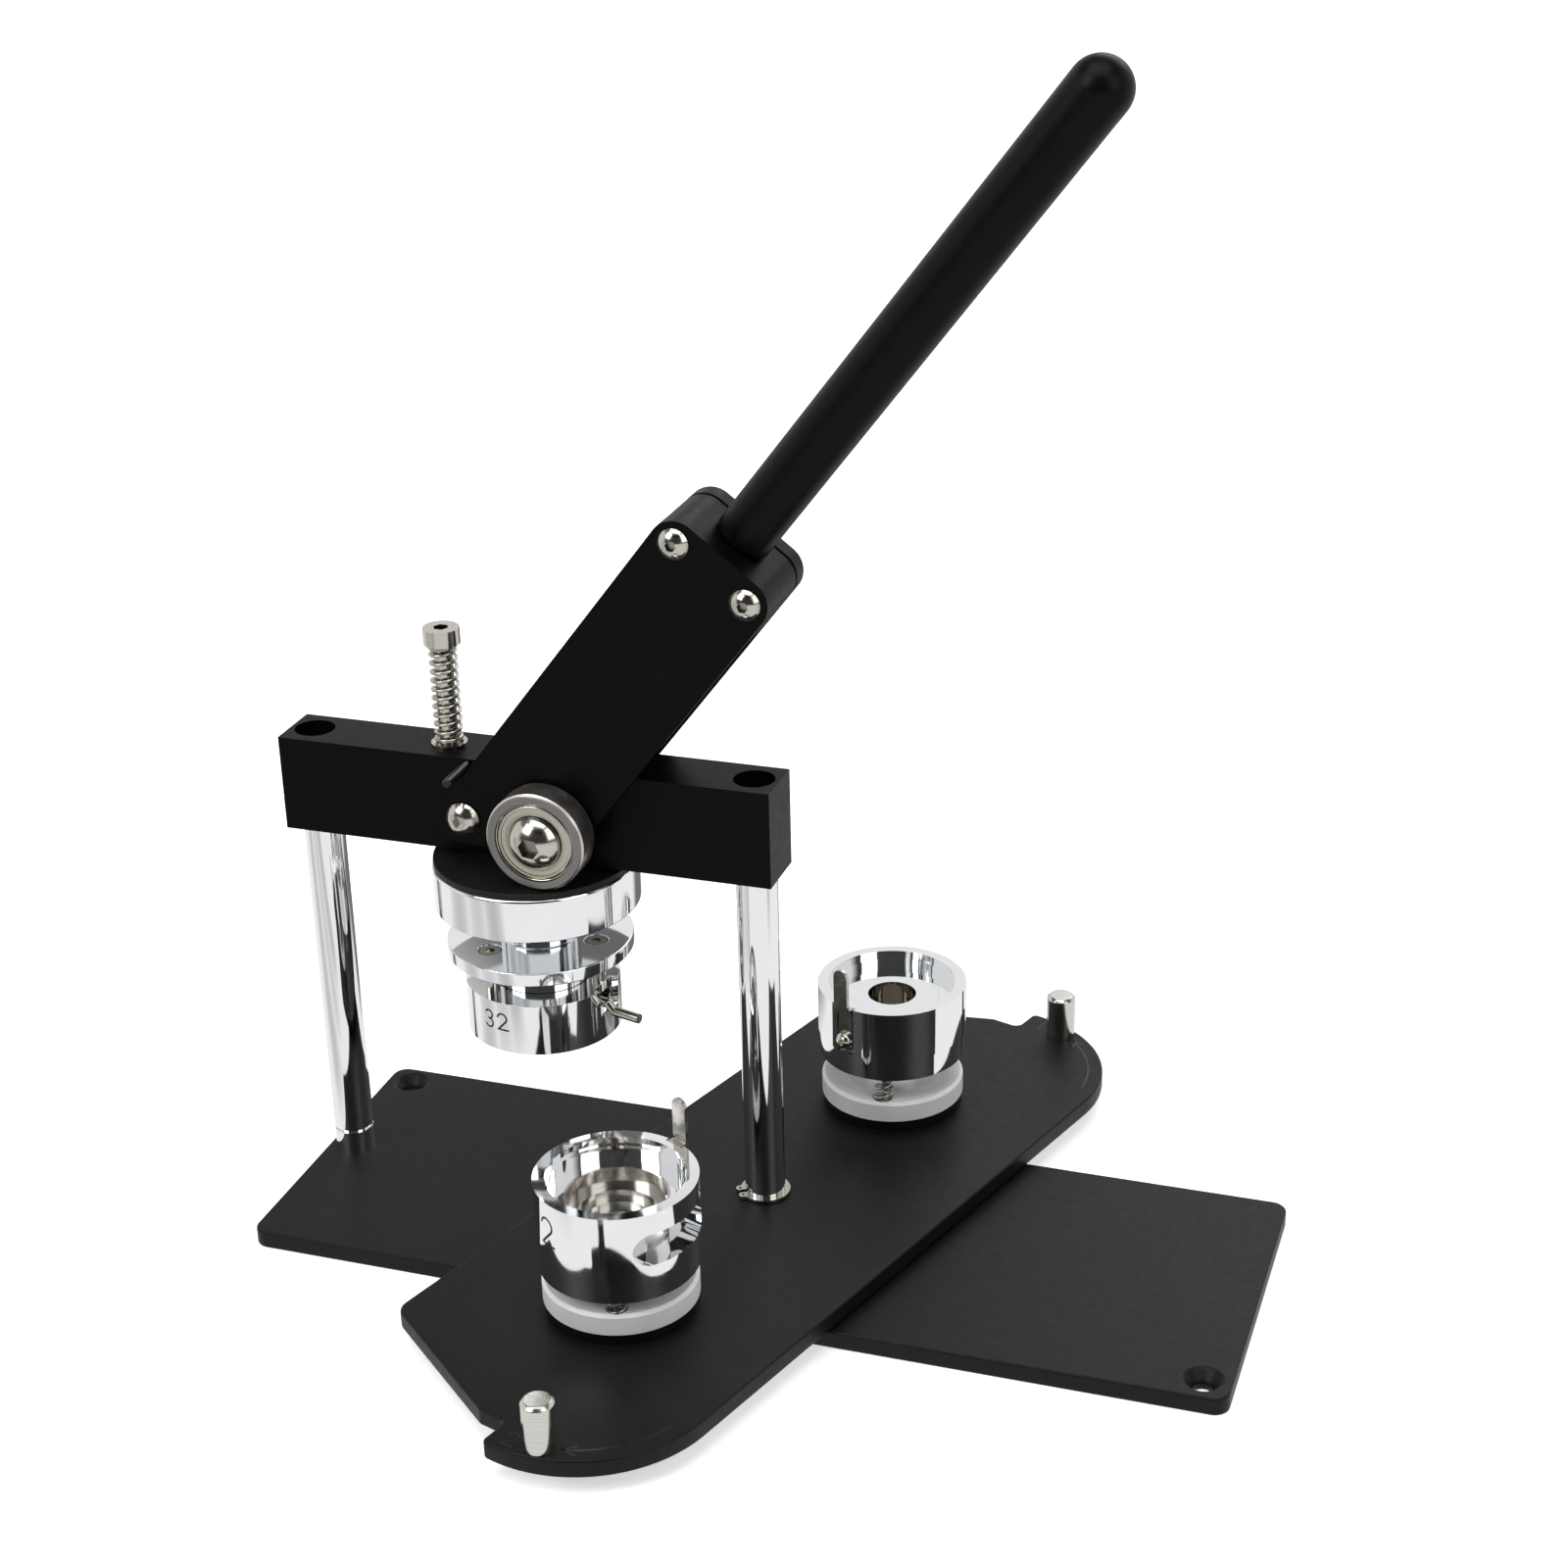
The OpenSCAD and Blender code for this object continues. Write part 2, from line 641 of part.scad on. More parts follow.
// A bent steel strip: a leg on the flat, a step outwards at the rim and a rounded finger above it
module die_tab(tab_turn) {
    finger_x = tab_flat + tab_t + 1.2;
    leg_z = rim_z - tab_leg;
    color(nickel) rotate([0, 0, tab_turn]) difference() {
        union() {
            translate([tab_flat + 0.02, -tab_w / 2, leg_z]) cube([tab_t, tab_w, tab_leg]);
            translate([tab_flat + 0.02, -tab_w / 2, rim_z - tab_t]) cube([finger_x - tab_flat + tab_t, tab_w, tab_t]);
            translate([finger_x + 0.02, -tab_w / 2, rim_z - tab_t]) cube([tab_t, tab_w, tab_rise + tab_t - tab_w / 2]);
            translate([finger_x + 0.02, 0, rim_z + tab_rise - tab_w / 2]) rotate([0, 90, 0]) cylinder(d = tab_w, h = tab_t);
        }
        translate([tab_flat - 1, 0, rim_z - tab_screw_drop]) rotate([0, 90, 0])
            cylinder(d = m3[0] + 0.4, h = 6);
    }
}
module die_1_tab() { at_die_1() die_tab(tab_turn_1); }
module die_2_tab() { at_die_2() die_tab(tab_turn_2); }

module die_tab_screw(tab_turn) {
    washer_t = 0.8;
    color(nickel) rotate([0, 0, tab_turn]) translate([tab_flat + tab_t + 0.03, 0, rim_z - tab_screw_drop])
        rotate([0, 90, 0]) {
            tube(3.2, m3[0] / 2 - eps, washer_t);
            translate([0, 0, washer_t]) button_screw(m3, 6.4);
        }
}
module die_1_tab_screw() { at_die_1() die_tab_screw(tab_turn_1); }
module die_2_tab_screw() { at_die_2() die_tab_screw(tab_turn_2); }

// ---------- ram and upper die ----------

guide_thread = 10;
ram_screw_l = 20;
flange_screw_orbit = 19.5;
flange_screw_turn = -2;
flange_screw_d = 4.8;
head_pocket_d = 7.6;
head_pocket = 3;
cover_t = 2.9;
skirt_thread = 2.8;
cam_r = core_r + 2.4;
cam_h = 6;
cam_z1 = skirt_z1 - cover_t - 0.05;
cam_z0 = cam_z1 - cam_h;
pin_d = 3.2;
pin_turn = -15;
pin_swing = 16.5;
pin_z = cam_z1 - 1.85;
pin_drop = 2.2;
notch_depth = 8.7;
notch_r = 21.9;
notch_low = pin_turn - 5.5;
notch_high = pin_turn + pin_swing + 5.5;

module each_guide() {
    for (s = [-1, 1]) translate([ram_x + s * guide_off, post_y, 0]) children();
}

module press_pad() {
    color(black_paint) difference() {
        at_ram() translate([0, 0, disc_z1]) cylinder(r = disc_d / 2 - 0.5, h = pad_t);
        each_guide() translate([0, 0, disc_z1 - 1]) cylinder(d = m6[0] + 0.6, h = pad_t + 2);
    }
}

module press_disc() {
    edge = 0.6;
    color(chrome) difference() {
        at_ram() {
            translate([0, 0, disc_z0]) cylinder(r = disc_d / 2, h = disc_t - edge);
            translate([0, 0, disc_z1 - edge]) cylinder(r1 = disc_d / 2, r2 = disc_d / 2 - edge, h = edge);
        }
        each_guide() translate([0, 0, disc_z1 - guide_thread])
            cylinder(r = m6[0] / 2 + seat_fit, h = guide_thread + 1);
        at_ram() {
            translate([0, 0, disc_z0 - 1]) cylinder(d = m8[0] + 0.6, h = disc_t + 2);
            translate([0, 0, disc_z1 - m8[2] - 0.5]) cylinder(d = m8[1] + 0.6, h = m8[2] + 2);
        }
    }
}

module ram_screw() {
    color(black_steel) at_ram() translate([0, 0, disc_z1 - m8[2] - 0.5 + 0.02]) cap_screw(m8, ram_screw_l);
}

module guide_screws() {
    head_z = bar_z1 + guide_rise;
    color(nickel) each_guide() translate([0, 0, head_z])
        cap_screw(m6_low, head_z - disc_z1 + guide_thread - 0.5);
}

module guide_bushes() {
    color(nickel) each_guide() difference() {
        union() {
            translate([0, 0, bar_z1 - bush_l]) cylinder(d = bush_d, h = bush_l + eps);
            translate([0, 0, bar_z1 + 0.01]) cylinder(d = bush_flange_d, h = bush_flange_t);
        }
        translate([0, 0, bar_z1 - bush_l - 1]) cylinder(r = m6[0] / 2 + run_fit, h = bush_l + 4);
    }
}

return_d = 9.2;
return_wire = 1.2;
return_turns = 9.5;

module return_springs() {
    z0 = bar_z1 + 0.01 + bush_flange_t;
    color(steel) each_guide() translate([0, 0, z0])
        coil_spring(return_d, return_wire, bar_z1 + guide_rise - z0, return_turns);
}

module each_flange_screw() {
    at_ram() for (k = [0:2]) rotate([0, 0, flange_screw_turn + 120 * k])
        translate([flange_screw_orbit, 0, 0]) children();
}

module upper_flange() {
    color(chrome) difference() {
        at_ram() {
            translate([0, 0, flange_z0]) cylinder(d = flange_d, h = flange_t);
            translate([0, 0, flange_z1 - eps]) cylinder(d = neck_d, h = neck_h + eps);
        }
        each_flange_screw() {
            translate([0, 0, flange_z0 - 1]) cylinder(r = flange_screw_d / 2 + run_fit, h = flange_t + 2);
            translate([0, 0, flange_z1 - head_pocket]) cylinder(d = head_pocket_d, h = head_pocket + 1);
        }
        at_ram() translate([0, 0, flange_z0 - 1]) cylinder(r = m8[0] / 2 + seat_fit, h = neck_h + flange_t + 2);
    }
}

punch_z0 = skirt_z0 + 11.5;

module punch_core() {
    root_h = 2.5;
    color(chrome) at_ram() difference() {
        union() {
            translate([0, 0, punch_z0]) cylinder(r = core_r - 0.1, h = flange_z0 - punch_z0);
            translate([0, 0, flange_z0 - eps]) cylinder(r = m8[0] / 2, h = root_h);
        }
        translate([0, 0, punch_z0 - 1]) cylinder(r = 4, h = 3);
    }
}

module skirt() {
    color(chrome) difference() {
        at_ram() translate([0, 0, skirt_z0]) cylinder(d = skirt_d, h = skirt_h);
        at_ram() {
            translate([0, 0, skirt_z0 - 1]) cylinder(r = core_r + 0.2, h = skirt_h + 2);
            translate([0, 0, cam_z0 - 0.05]) cylinder(r = cam_r + run_fit, h = skirt_h);
            skirt_sector(cam_r - 1, pin_z - pin_d / 2 - 0.2, pin_d + 0.4);
            skirt_sector(notch_r, skirt_z1 - notch_depth, notch_depth + 1);
        }
        each_flange_screw() translate([0, 0, skirt_z1 - skirt_thread]) cylinder(r = m4[0] / 2 + seat_fit, h = 7);
    }
}

// The space in the skirt's wall that the pick-up pin swings in
module skirt_sector(r_in, z0, h) {
    translate([0, 0, z0]) rotate([0, 0, notch_low]) rotate_extrude(angle = notch_high - notch_low)
        translate([r_in, 0]) square([skirt_d / 2 - r_in + 1, h]);
}

module skirt_screws() {
    head_z = flange_z1 - head_pocket;
    color(nickel) each_flange_screw() translate([0, 0, head_z]) {
        difference() {
            cylinder(d = m4[1], h = m4[2]);
            socket_hole(m4);
        }
        translate([0, 0, skirt_z1 - head_z]) cylinder(d = flange_screw_d, h = head_z - skirt_z1 + eps);
        translate([0, 0, skirt_z1 - skirt_thread + 0.1 - head_z]) cylinder(d = m4[0], h = skirt_thread);
    }
}

module skirt_cover() {
    color(chrome) difference() {
        at_ram() translate([0, 0, skirt_z1 - cover_t])
            tube(cam_r + run_fit - seat_fit, core_r + 0.2, cover_t);
        each_flange_screw() translate([0, 0, skirt_z1 - cover_t - 1]) cylinder(r = m4[0] / 2 + 0.1, h = cover_t + 2);
    }
}

module cam_ring() {
    color(steel) at_ram() difference() {
        translate([0, 0, cam_z0]) tube(cam_r, core_r + 0.3, cam_h);
        rotate([0, 0, pin_turn]) translate([core_r - 1, 0, pin_z]) rotate([0, 90, 0])
            cylinder(r = pin_d / 2 + seat_fit, h = 5);
    }
}

// A bent pin: straight through the skirt, then down at 45 degrees and level again
module pickup_pin() {
    bend_x = skirt_d / 2 + 1.2;
    color(nickel) at_ram() rotate([0, 0, pin_turn]) {
        translate([core_r + 0.5, 0, pin_z]) rotate([0, 90, 0]) cylinder(d = pin_d, h = bend_x - core_r - 0.5);
        translate([bend_x, 0, pin_z]) sphere(d = pin_d);
        translate([bend_x, 0, pin_z]) rotate([0, 135, 0]) cylinder(d = pin_d, h = pin_drop * sqrt(2));
        translate([bend_x + pin_drop, 0, pin_z - pin_drop]) sphere(d = pin_d);
        translate([bend_x + pin_drop, 0, pin_z - pin_drop]) rotate([0, 90, 0])
            cylinder(d = pin_d, h = pin_reach - 1.2 - pin_drop);
    }
}

// ---------- lever ----------

plate_in = bar_w / 2 + pass_gap;
plate_out = plate_in + plate_t;
axle_boss_r = 10.9;
axle_u = arm * cos(lever_angle);
axle_v = -arm * sin(lever_angle);
right_v = axle_v - axle_boss_r;
head_r = 8;
head_inset = 7.2;
block_l = 22;
lever_screw_l = 14;
stud_d = 10;
stud_l = 28;
axle_thread_d = 8;
bearing_bore_d = 12;
spacer_t = 0.7;
bearing_in = plate_out + spacer_t;
bearing_out = bearing_in + bearing_w;
rod_v = (heel_r + right_v) / 2;
screw_spots = [[plate_l - head_inset, heel_r - head_inset], [plate_l - head_inset, right_v + head_inset]];

// The outward direction of the tangent from circle a to circle b, each [x, y, r], going counter-clockwise
function tangent_turn(a, b) =
    let (d = [b[0] - a[0], b[1] - a[1]]) atan2(d[1], d[0]) - 90 + asin((a[2] - b[2]) / norm(d));

function on_circle(c, turn) = [c[0] + (c[2] - tuck) * cos(turn), c[1] + (c[2] - tuck) * sin(turn)];

// A flat outline stretched round a ring of circles, with true arcs and straight sides
module belt_outline(circles) {
    n = len(circles);
    polygon([for (i = [0:n - 1]) let (a = circles[i], b = circles[(i + 1) % n], t = tangent_turn(a, b))
        each [on_circle(a, t), on_circle(b, t)]]);
    for (c = circles) translate([c[0], c[1]]) circle(r = c[2]);
}

module lever_outline() {
    belt_outline([[0, 0, heel_r], [axle_u, axle_v, axle_boss_r], [plate_l - head_r, right_v + head_r, head_r],
        [plate_l - head_r, heel_r - head_r, head_r]]);
}

module lever_plate() {
    color(black_paint) difference() {
        translate([0, 0, plate_in]) linear_extrude(plate_t) lever_outline();
        translate([0, 0, plate_in - 1]) {
            cylinder(r = pivot_pin_d / 2 + run_fit, h = plate_t + 2);
            translate([axle_u, axle_v, 0]) cylinder(r = axle_thread_d / 2 + seat_fit, h = plate_t + 2);
            for (p = screw_spots) translate(p) cylinder(d = m5[0] + 0.4, h = plate_t + 2);
        }
    }
}
module lever_plate_front() { at_lever() lever_plate(); }
module lever_plate_rear() { at_lever() mirror([0, 0, 1]) lever_plate(); }

module lever_block() {
    half = plate_in - 0.01;
    color(black_paint) at_lever() difference() {
        translate([0, 0, -half]) linear_extrude(2 * half) smooth_outline([
            [plate_l - block_l, right_v, 2], [plate_l - 0.4, right_v, head_r],
            [plate_l - 0.4, heel_r, head_r], [plate_l - block_l, heel_r, 2]]);
        for (p = screw_spots) translate([p[0], p[1], -half - 1]) cylinder(r = m5[0] / 2 + seat_fit, h = 2 * half + 2);
        translate([plate_l - 0.4 - stud_l / 2, rod_v, 0]) rotate([0, 90, 0])
            cylinder(r = stud_d / 2 + seat_fit, h = stud_l);
    }
}

module lever_screws() {
    color(nickel) at_lever() front_and_rear()
        for (p = screw_spots) translate([p[0], p[1], plate_out + 0.01]) button_screw(m5, lever_screw_l);
}

module handle_rod() {
    foot = 1.2;
    root = plate_l - 0.4 + 0.01;
    end_u = root + rod_l;
    color(black_paint) at_lever() translate([0, rod_v, 0]) rotate([0, 90, 0]) difference() {
        union() {
            translate([0, 0, root]) cylinder(d1 = rod_d - 2 * foot, d2 = rod_d, h = foot);
            translate([0, 0, root + foot]) cylinder(d1 = rod_d, d2 = rod_tip_d, h = rod_l - foot);
            translate([0, 0, end_u]) sphere(d = rod_tip_d);
        }
        translate([0, 0, root - 1]) cylinder(r = stud_d / 2 + seat_fit, h = stud_l / 2 + 1.5);
    }
}

module handle_stud() {
    color(steel) at_lever() translate([plate_l - 0.4 - stud_l / 2 + 0.2, rod_v, 0]) rotate([0, 90, 0])
        cylinder(d = stud_d, h = stud_l - 0.4);
}

pivot_clearance = 0.15;

module pivot_pin() {
    half = plate_out + pivot_clearance;
    color(steel) at_lever() difference() {
        translate([0, 0, -half]) cylinder(d = pivot_pin_d, h = 2 * half);
        front_and_rear() translate([0, 0, half - 9]) cylinder(r = m5[0] / 2 + seat_fit, h = 10);
    }
}

module pivot_screws() {
    pivot_head = [m5[0], m6_button[1], m6_button[2], m6_button[3]];
    color(nickel) at_lever() front_and_rear()
        translate([0, 0, plate_out + pivot_clearance + 0.01]) button_screw(pivot_head, 8.5);
}

module stop_pin() {
    color(black_steel) translate([stop_x, post_y - bar_w / 2 + stop_depth - 0.1, stop_z]) rotate([90, 0, 0]) {
        cylinder(d = stop_d, h = stop_l + stop_depth - 0.6);
        translate([0, 0, stop_l + stop_depth - 0.6]) cylinder(d1 = stop_d, d2 = stop_d - 1, h = 0.5);
    }
}

// ---------- pressing bearings ----------

inner_land_r = bearing_bore_d / 2 + 2.6;
outer_land_r = bearing_d / 2 - 3.4;
ball_orbit = (inner_land_r + outer_land_r) / 2;
groove_r = (outer_land_r - inner_land_r) / 2 + 1.1;
ball_r = groove_r - 0.08;
ball_count = 8;
shield_t = 0.4;
shield_in = 0.5;
shield_seat = 0.4;

module at_axle() { at_lever() translate([axle_u, axle_v, 0]) children(); }
module at_front_bearing() { at_axle() translate([0, 0, bearing_in]) children(); }
module at_rear_bearing() { at_axle() mirror([0, 0, 1]) translate([0, 0, bearing_in]) children(); }

module ball_groove() {
    translate([0, 0, bearing_w / 2]) rotate_extrude() translate([ball_orbit, 0]) circle(r = groove_r);
}

module bearing_inner_ring() {
    difference() {
        tube(inner_land_r, bearing_bore_d / 2, bearing_w);
        ball_groove();
    }
}

module bearing_inner_rings() {
    color(steel) {
        at_front_bearing() bearing_inner_ring();
        at_rear_bearing() bearing_inner_ring();
    }
}

module bearing_ball_set() {
    for (k = [0:ball_count - 1]) rotate([0, 0, 360 * k / ball_count])
        translate([ball_orbit, 0, bearing_w / 2]) sphere(r = ball_r);
}

module bearing_balls() {
    color(chrome) {
        at_front_bearing() bearing_ball_set();
        at_rear_bearing() bearing_ball_set();
    }
}

module bearing_outer_ring() {
    edge = 0.8;
    color(steel) difference() {
        union() {
            cylinder(d1 = bearing_d - 2 * edge, d2 = bearing_d, h = edge);
            translate([0, 0, edge]) cylinder(d = bearing_d, h = bearing_w - 2 * edge);
            translate([0, 0, bearing_w - edge]) cylinder(d1 = bearing_d, d2 = bearing_d - 2 * edge, h = edge);
        }
        translate([0, 0, -1]) cylinder(r = outer_land_r, h = bearing_w + 2);
        for (z = [-1, bearing_w - shield_in - shield_t])
            translate([0, 0, z]) cylinder(r = outer_land_r + shield_seat + seat_fit, h = shield_in + shield_t + 1);
        ball_groove();
    }
}
module front_bearing_outer() { at_front_bearing() bearing_outer_ring(); }
module rear_bearing_outer() { at_rear_bearing() bearing_outer_ring(); }

module bearing_shield_pair() {
    color(nickel) for (z = [shield_in, bearing_w - shield_in - shield_t])
        translate([0, 0, z]) tube(outer_land_r + shield_seat, inner_land_r + 0.25, shield_t);
}
module front_bearing_shields() { at_front_bearing() bearing_shield_pair(); }
module rear_bearing_shields() { at_rear_bearing() bearing_shield_pair(); }

module bearing_spacers() {
    color(steel) at_axle() front_and_rear()
        translate([0, 0, plate_out + 0.01]) tube(inner_land_r, axle_thread_d / 2 + 0.3, spacer_t - 0.02);
}

module bearing_bolts() {
    color(nickel) at_axle() front_and_rear() translate([0, 0, bearing_out + 0.01]) {
        button_screw(axle_bolt, bearing_w + spacer_t + plate_t - 0.1);
        translate([0, 0, -bearing_w - 0.01]) cylinder(r = bearing_bore_d / 2 - seat_fit, h = bearing_w);
    }
}

// ---------- the whole press ----------

base_plate();
left_post();
right_post();
post_foot_screws();
crossbar();
post_top_screws();
pivot_pin();
pivot_screws();
stop_pin();
guide_bushes();
return_springs();
swivel_washer();
swivel_circlip();
swivel_plate();
finger_pin_1();
finger_pin_2();
die_mount_screws();
die_1_foot();
die_1_seat();
die_1_core();
die_1_keeper();
die_1_springs();
die_1_ring();
die_1_tab();
die_1_tab_screw();
die_2_foot();
die_2_seat();
die_2_core();
die_2_keeper();
die_2_springs();
die_2_ring();
die_2_tab();
die_2_tab_screw();
press_pad();
press_disc();
guide_screws();
upper_flange();
punch_core();
ram_screw();
skirt();
skirt_screws();
skirt_cover();
cam_ring();
pickup_pin();
lever_plate_front();
lever_plate_rear();
lever_block();
lever_screws();
handle_rod();
handle_stud();
bearing_bolts();
bearing_spacers();
bearing_inner_rings();
bearing_balls();
front_bearing_outer();
front_bearing_shields();
rear_bearing_outer();
rear_bearing_shields();
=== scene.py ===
import json
import math

import bmesh
import bpy
from mathutils import Matrix, Vector

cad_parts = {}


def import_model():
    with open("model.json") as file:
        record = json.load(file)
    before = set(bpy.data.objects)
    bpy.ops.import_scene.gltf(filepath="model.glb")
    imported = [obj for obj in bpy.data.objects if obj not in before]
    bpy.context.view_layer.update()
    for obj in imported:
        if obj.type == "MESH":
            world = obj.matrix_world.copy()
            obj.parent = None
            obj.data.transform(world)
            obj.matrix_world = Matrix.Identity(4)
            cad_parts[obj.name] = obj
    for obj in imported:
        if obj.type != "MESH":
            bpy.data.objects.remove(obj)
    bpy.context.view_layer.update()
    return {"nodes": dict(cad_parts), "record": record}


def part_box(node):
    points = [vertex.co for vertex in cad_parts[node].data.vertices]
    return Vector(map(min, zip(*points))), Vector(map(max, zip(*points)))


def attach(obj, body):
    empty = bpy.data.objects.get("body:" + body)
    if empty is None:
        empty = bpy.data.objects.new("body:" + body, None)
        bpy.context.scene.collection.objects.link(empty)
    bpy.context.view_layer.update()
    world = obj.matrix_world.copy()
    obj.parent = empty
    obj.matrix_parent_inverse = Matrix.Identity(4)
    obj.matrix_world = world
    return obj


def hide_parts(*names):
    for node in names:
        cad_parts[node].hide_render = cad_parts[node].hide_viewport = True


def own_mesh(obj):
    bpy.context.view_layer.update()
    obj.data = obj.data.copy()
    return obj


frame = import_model()
nodes = frame["nodes"]
MM = 0.001

# ---------- places, in millimetres, read from the frame ----------


def middle(node):
    lo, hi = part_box(node)
    return (lo + hi) / 2 / MM


def low(node):
    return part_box(node)[0] / MM


def high(node):
    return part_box(node)[1] / MM


def outer_r(node):
    """The radius of a round node, from its box."""
    return (high(node).x - low(node).x) / 2


joint_at = {j["name"]: j for j in frame["record"]["behaviour"]["joints"]}
pivot = Vector(joint_at["swivel_turn"]["pos_m"]) / MM
ram_axis = Vector(middle("press_disc")[:2])
die_1 = Vector(middle("die_1_seat")[:2])
die_2 = Vector(middle("die_2_seat")[:2])
axle = middle("front_bearing_outer")
bearing_r = outer_r("front_bearing_outer")
along = (die_1 - Vector(pivot[:2])).normalized()
left = Vector((-along.y, along.x))
plate_top = high("swivel_plate").z


def on_plate(s, t):
    """A point of the swivel plate's top: s from the pivot towards die 1, t to the left of that line."""
    p = Vector(pivot[:2]) + along * s + left * t
    return Vector((p.x, p.y, plate_top))


def islands(node):
    """The points of each loose piece of a node's mesh, in millimetres."""
    bm = bmesh.new()
    bm.from_mesh(nodes[node].data)
    bmesh.ops.remove_doubles(bm, verts=bm.verts, dist=1e-6)
    bm.verts.ensure_lookup_table()
    seen = set()
    found = []
    for first in bm.verts:
        if first in seen:
            continue
        seen.add(first)
        stack, points = [first], []
        while stack:
            v = stack.pop()
            points.append(v.co / MM)
            for e in v.link_edges:
                o = e.other_vert(v)
                if o not in seen:
                    seen.add(o)
                    stack.append(o)
        found.append(points)
    bm.free()
    return found


def box_of(points):
    """The lowest and the highest corner of a set of points."""
    return Vector(map(min, *points)), Vector(map(max, *points))


# ---------- materials ----------

# the part of a noise pattern that is stretched to its full range
FAINT, STRONG = 0.3, 0.7


def base_material(name, colour, rough, metal=0.0, spec=0.5):
    """A plain material, its node tree and its shader."""
    m = bpy.data.materials.new(name)
    m.use_nodes = True
    b = m.node_tree.nodes["Principled BSDF"]
    b.inputs["Base Color"].default_value = (*colour, 1)
    b.inputs["Roughness"].default_value = rough
    b.inputs["Metallic"].default_value = metal
    b.inputs["Specular IOR Level"].default_value = spec
    return m, m.node_tree, b


def map_range(tree, source, from_min, from_max, to_min=0.0, to_max=1.0):
    """source, taken from one range to another and held at its ends."""
    r = tree.nodes.new("ShaderNodeMapRange")
    r.inputs["From Min"].default_value = from_min
    r.inputs["From Max"].default_value = from_max
    r.inputs["To Min"].default_value = to_min
    r.inputs["To Max"].default_value = to_max
    tree.links.new(source, r.inputs["Value"])
    return r.outputs["Result"]


def spread(tree, source, low_v, high_v, out):
    """source, a 0 to 1 pattern, drives out between two values."""
    tree.links.new(map_range(tree, source, FAINT, STRONG, low_v, high_v), out)


def maths(tree, kind, *values):
    """A maths node's output. Each value is a number or another node's output."""
    n = tree.nodes.new("ShaderNodeMath")
    n.operation = kind
    for i, v in enumerate(values):
        if isinstance(v, (int, float)):
            n.inputs[i].default_value = v
        else:
            tree.links.new(v, n.inputs[i])
    return n.outputs[0]


def object_noise(tree, scale, detail, stretch=(1, 1, 1)):
    """Noise fixed to the object, scale to the metre."""
    c = tree.nodes.new("ShaderNodeTexCoord")
    mp = tree.nodes.new("ShaderNodeMapping")
    mp.inputs["Scale"].default_value = stretch
    n = tree.nodes.new("ShaderNodeTexNoise")
    n.inputs["Scale"].default_value = scale
    n.inputs["Detail"].default_value = detail
    tree.links.new(c.outputs["Object"], mp.inputs["Vector"])
    tree.links.new(mp.outputs["Vector"], n.inputs["Vector"])
    return n.outputs["Fac"]


def length_of(tree, a, b):
    """The length of a vector of two parts."""
    squares = maths(tree, "ADD", maths(tree, "MULTIPLY", a, a), maths(tree, "MULTIPLY", b, b))
    return maths(tree, "SQRT", squares)


def reach_along(tree, x, y, degrees):
    """How far (x, y) reaches in a level direction."""
    a = math.radians(degrees)
    part_x = maths(tree, "MULTIPLY", x, math.cos(a))
    part_y = maths(tree, "MULTIPLY", y, math.sin(a))
    return maths(tree, "ADD", part_x, part_y)


def radius(tree, centre, axis):
    """The distance from an axis through centre, and the place along it, in metres."""
    c = tree.nodes.new("ShaderNodeTexCoord")
    s = tree.nodes.new("ShaderNodeSeparateXYZ")
    tree.links.new(c.outputs["Object"], s.inputs[0])
    across = [i for i in range(3) if i != axis]
    a, b = (maths(tree, "SUBTRACT", s.outputs[i], centre[i] * MM) for i in across)
    return length_of(tree, a, b), s.outputs[axis]


def recolour(tree, bsdf, centre, axis, limit, colour, side):
    """Another colour where the distance from the axis is LESS_THAN or GREATER_THAN limit."""
    mix = tree.nodes.new("ShaderNodeMix")
    mix.data_type = "RGBA"
    mix.inputs["B"].default_value = (*colour, 1)
    tree.links.new(bsdf.inputs["Base Color"].links[0].from_socket, mix.inputs["A"])
    tree.links.new(maths(tree, side, radius(tree, centre, axis)[0], limit * MM), mix.inputs["Factor"])
    tree.links.new(mix.outputs["Result"], bsdf.inputs["Base Color"])


def turning_lines(tree, centre, axis, per_mm):
    """Fine rings round an axis, as a lathe tool leaves them: they follow radius and height together."""
    r, height = radius(tree, centre, axis)
    w = maths(tree, "MULTIPLY", maths(tree, "ADD", r, height), per_mm / MM)
    n = tree.nodes.new("ShaderNodeTexNoise")
    n.noise_dimensions = "1D"
    n.inputs["Scale"].default_value = 1.0
    n.inputs["Detail"].default_value = 3.0
    tree.links.new(w, n.inputs["W"])
    return n.outputs["Fac"]


def tint(tree, bsdf, source, dark, light):
    """The surface's colour follows source, a 0 to 1 pattern, from dark to light."""
    r = tree.nodes.new("ShaderNodeValToRGB")
    r.color_ramp.elements[0].position = FAINT
    r.color_ramp.elements[1].position = STRONG
    r.color_ramp.elements[0].color = (*dark, 1)
    r.color_ramp.elements[1].color = (*light, 1)
    tree.links.new(source, r.inputs["Fac"])
    tree.links.new(r.outputs["Color"], bsdf.inputs["Base Color"])


def bump(tree, bsdf, source, strength, distance):
    """Fine relief in the shading, distance in metres."""
    b = tree.nodes.new("ShaderNodeBump")
    b.inputs["Strength"].default_value = strength
    b.inputs["Distance"].default_value = distance
    tree.links.new(source, b.inputs["Height"])
    tree.links.new(b.outputs["Normal"], bsdf.inputs["Normal"])


def powder_coat(name, dark, light, rough, spec, grain=0.22):
    """Black coating, with a slight grain."""
    m, t, b = base_material(name, dark, rough, 0.0, spec)
    tint(t, b, object_noise(t, 60, 3), dark, light)
    spread(t, object_noise(t, 340, 3), rough - 0.03, rough + 0.04, b.inputs["Roughness"])
    bump(t, b, object_noise(t, 2600, 2), grain, 0.00006)
    return m


# painted shade: the darker colour inside the bore of die 1's core, where less light reaches
BORE_SHADE = (0.42, 0.40, 0.36)


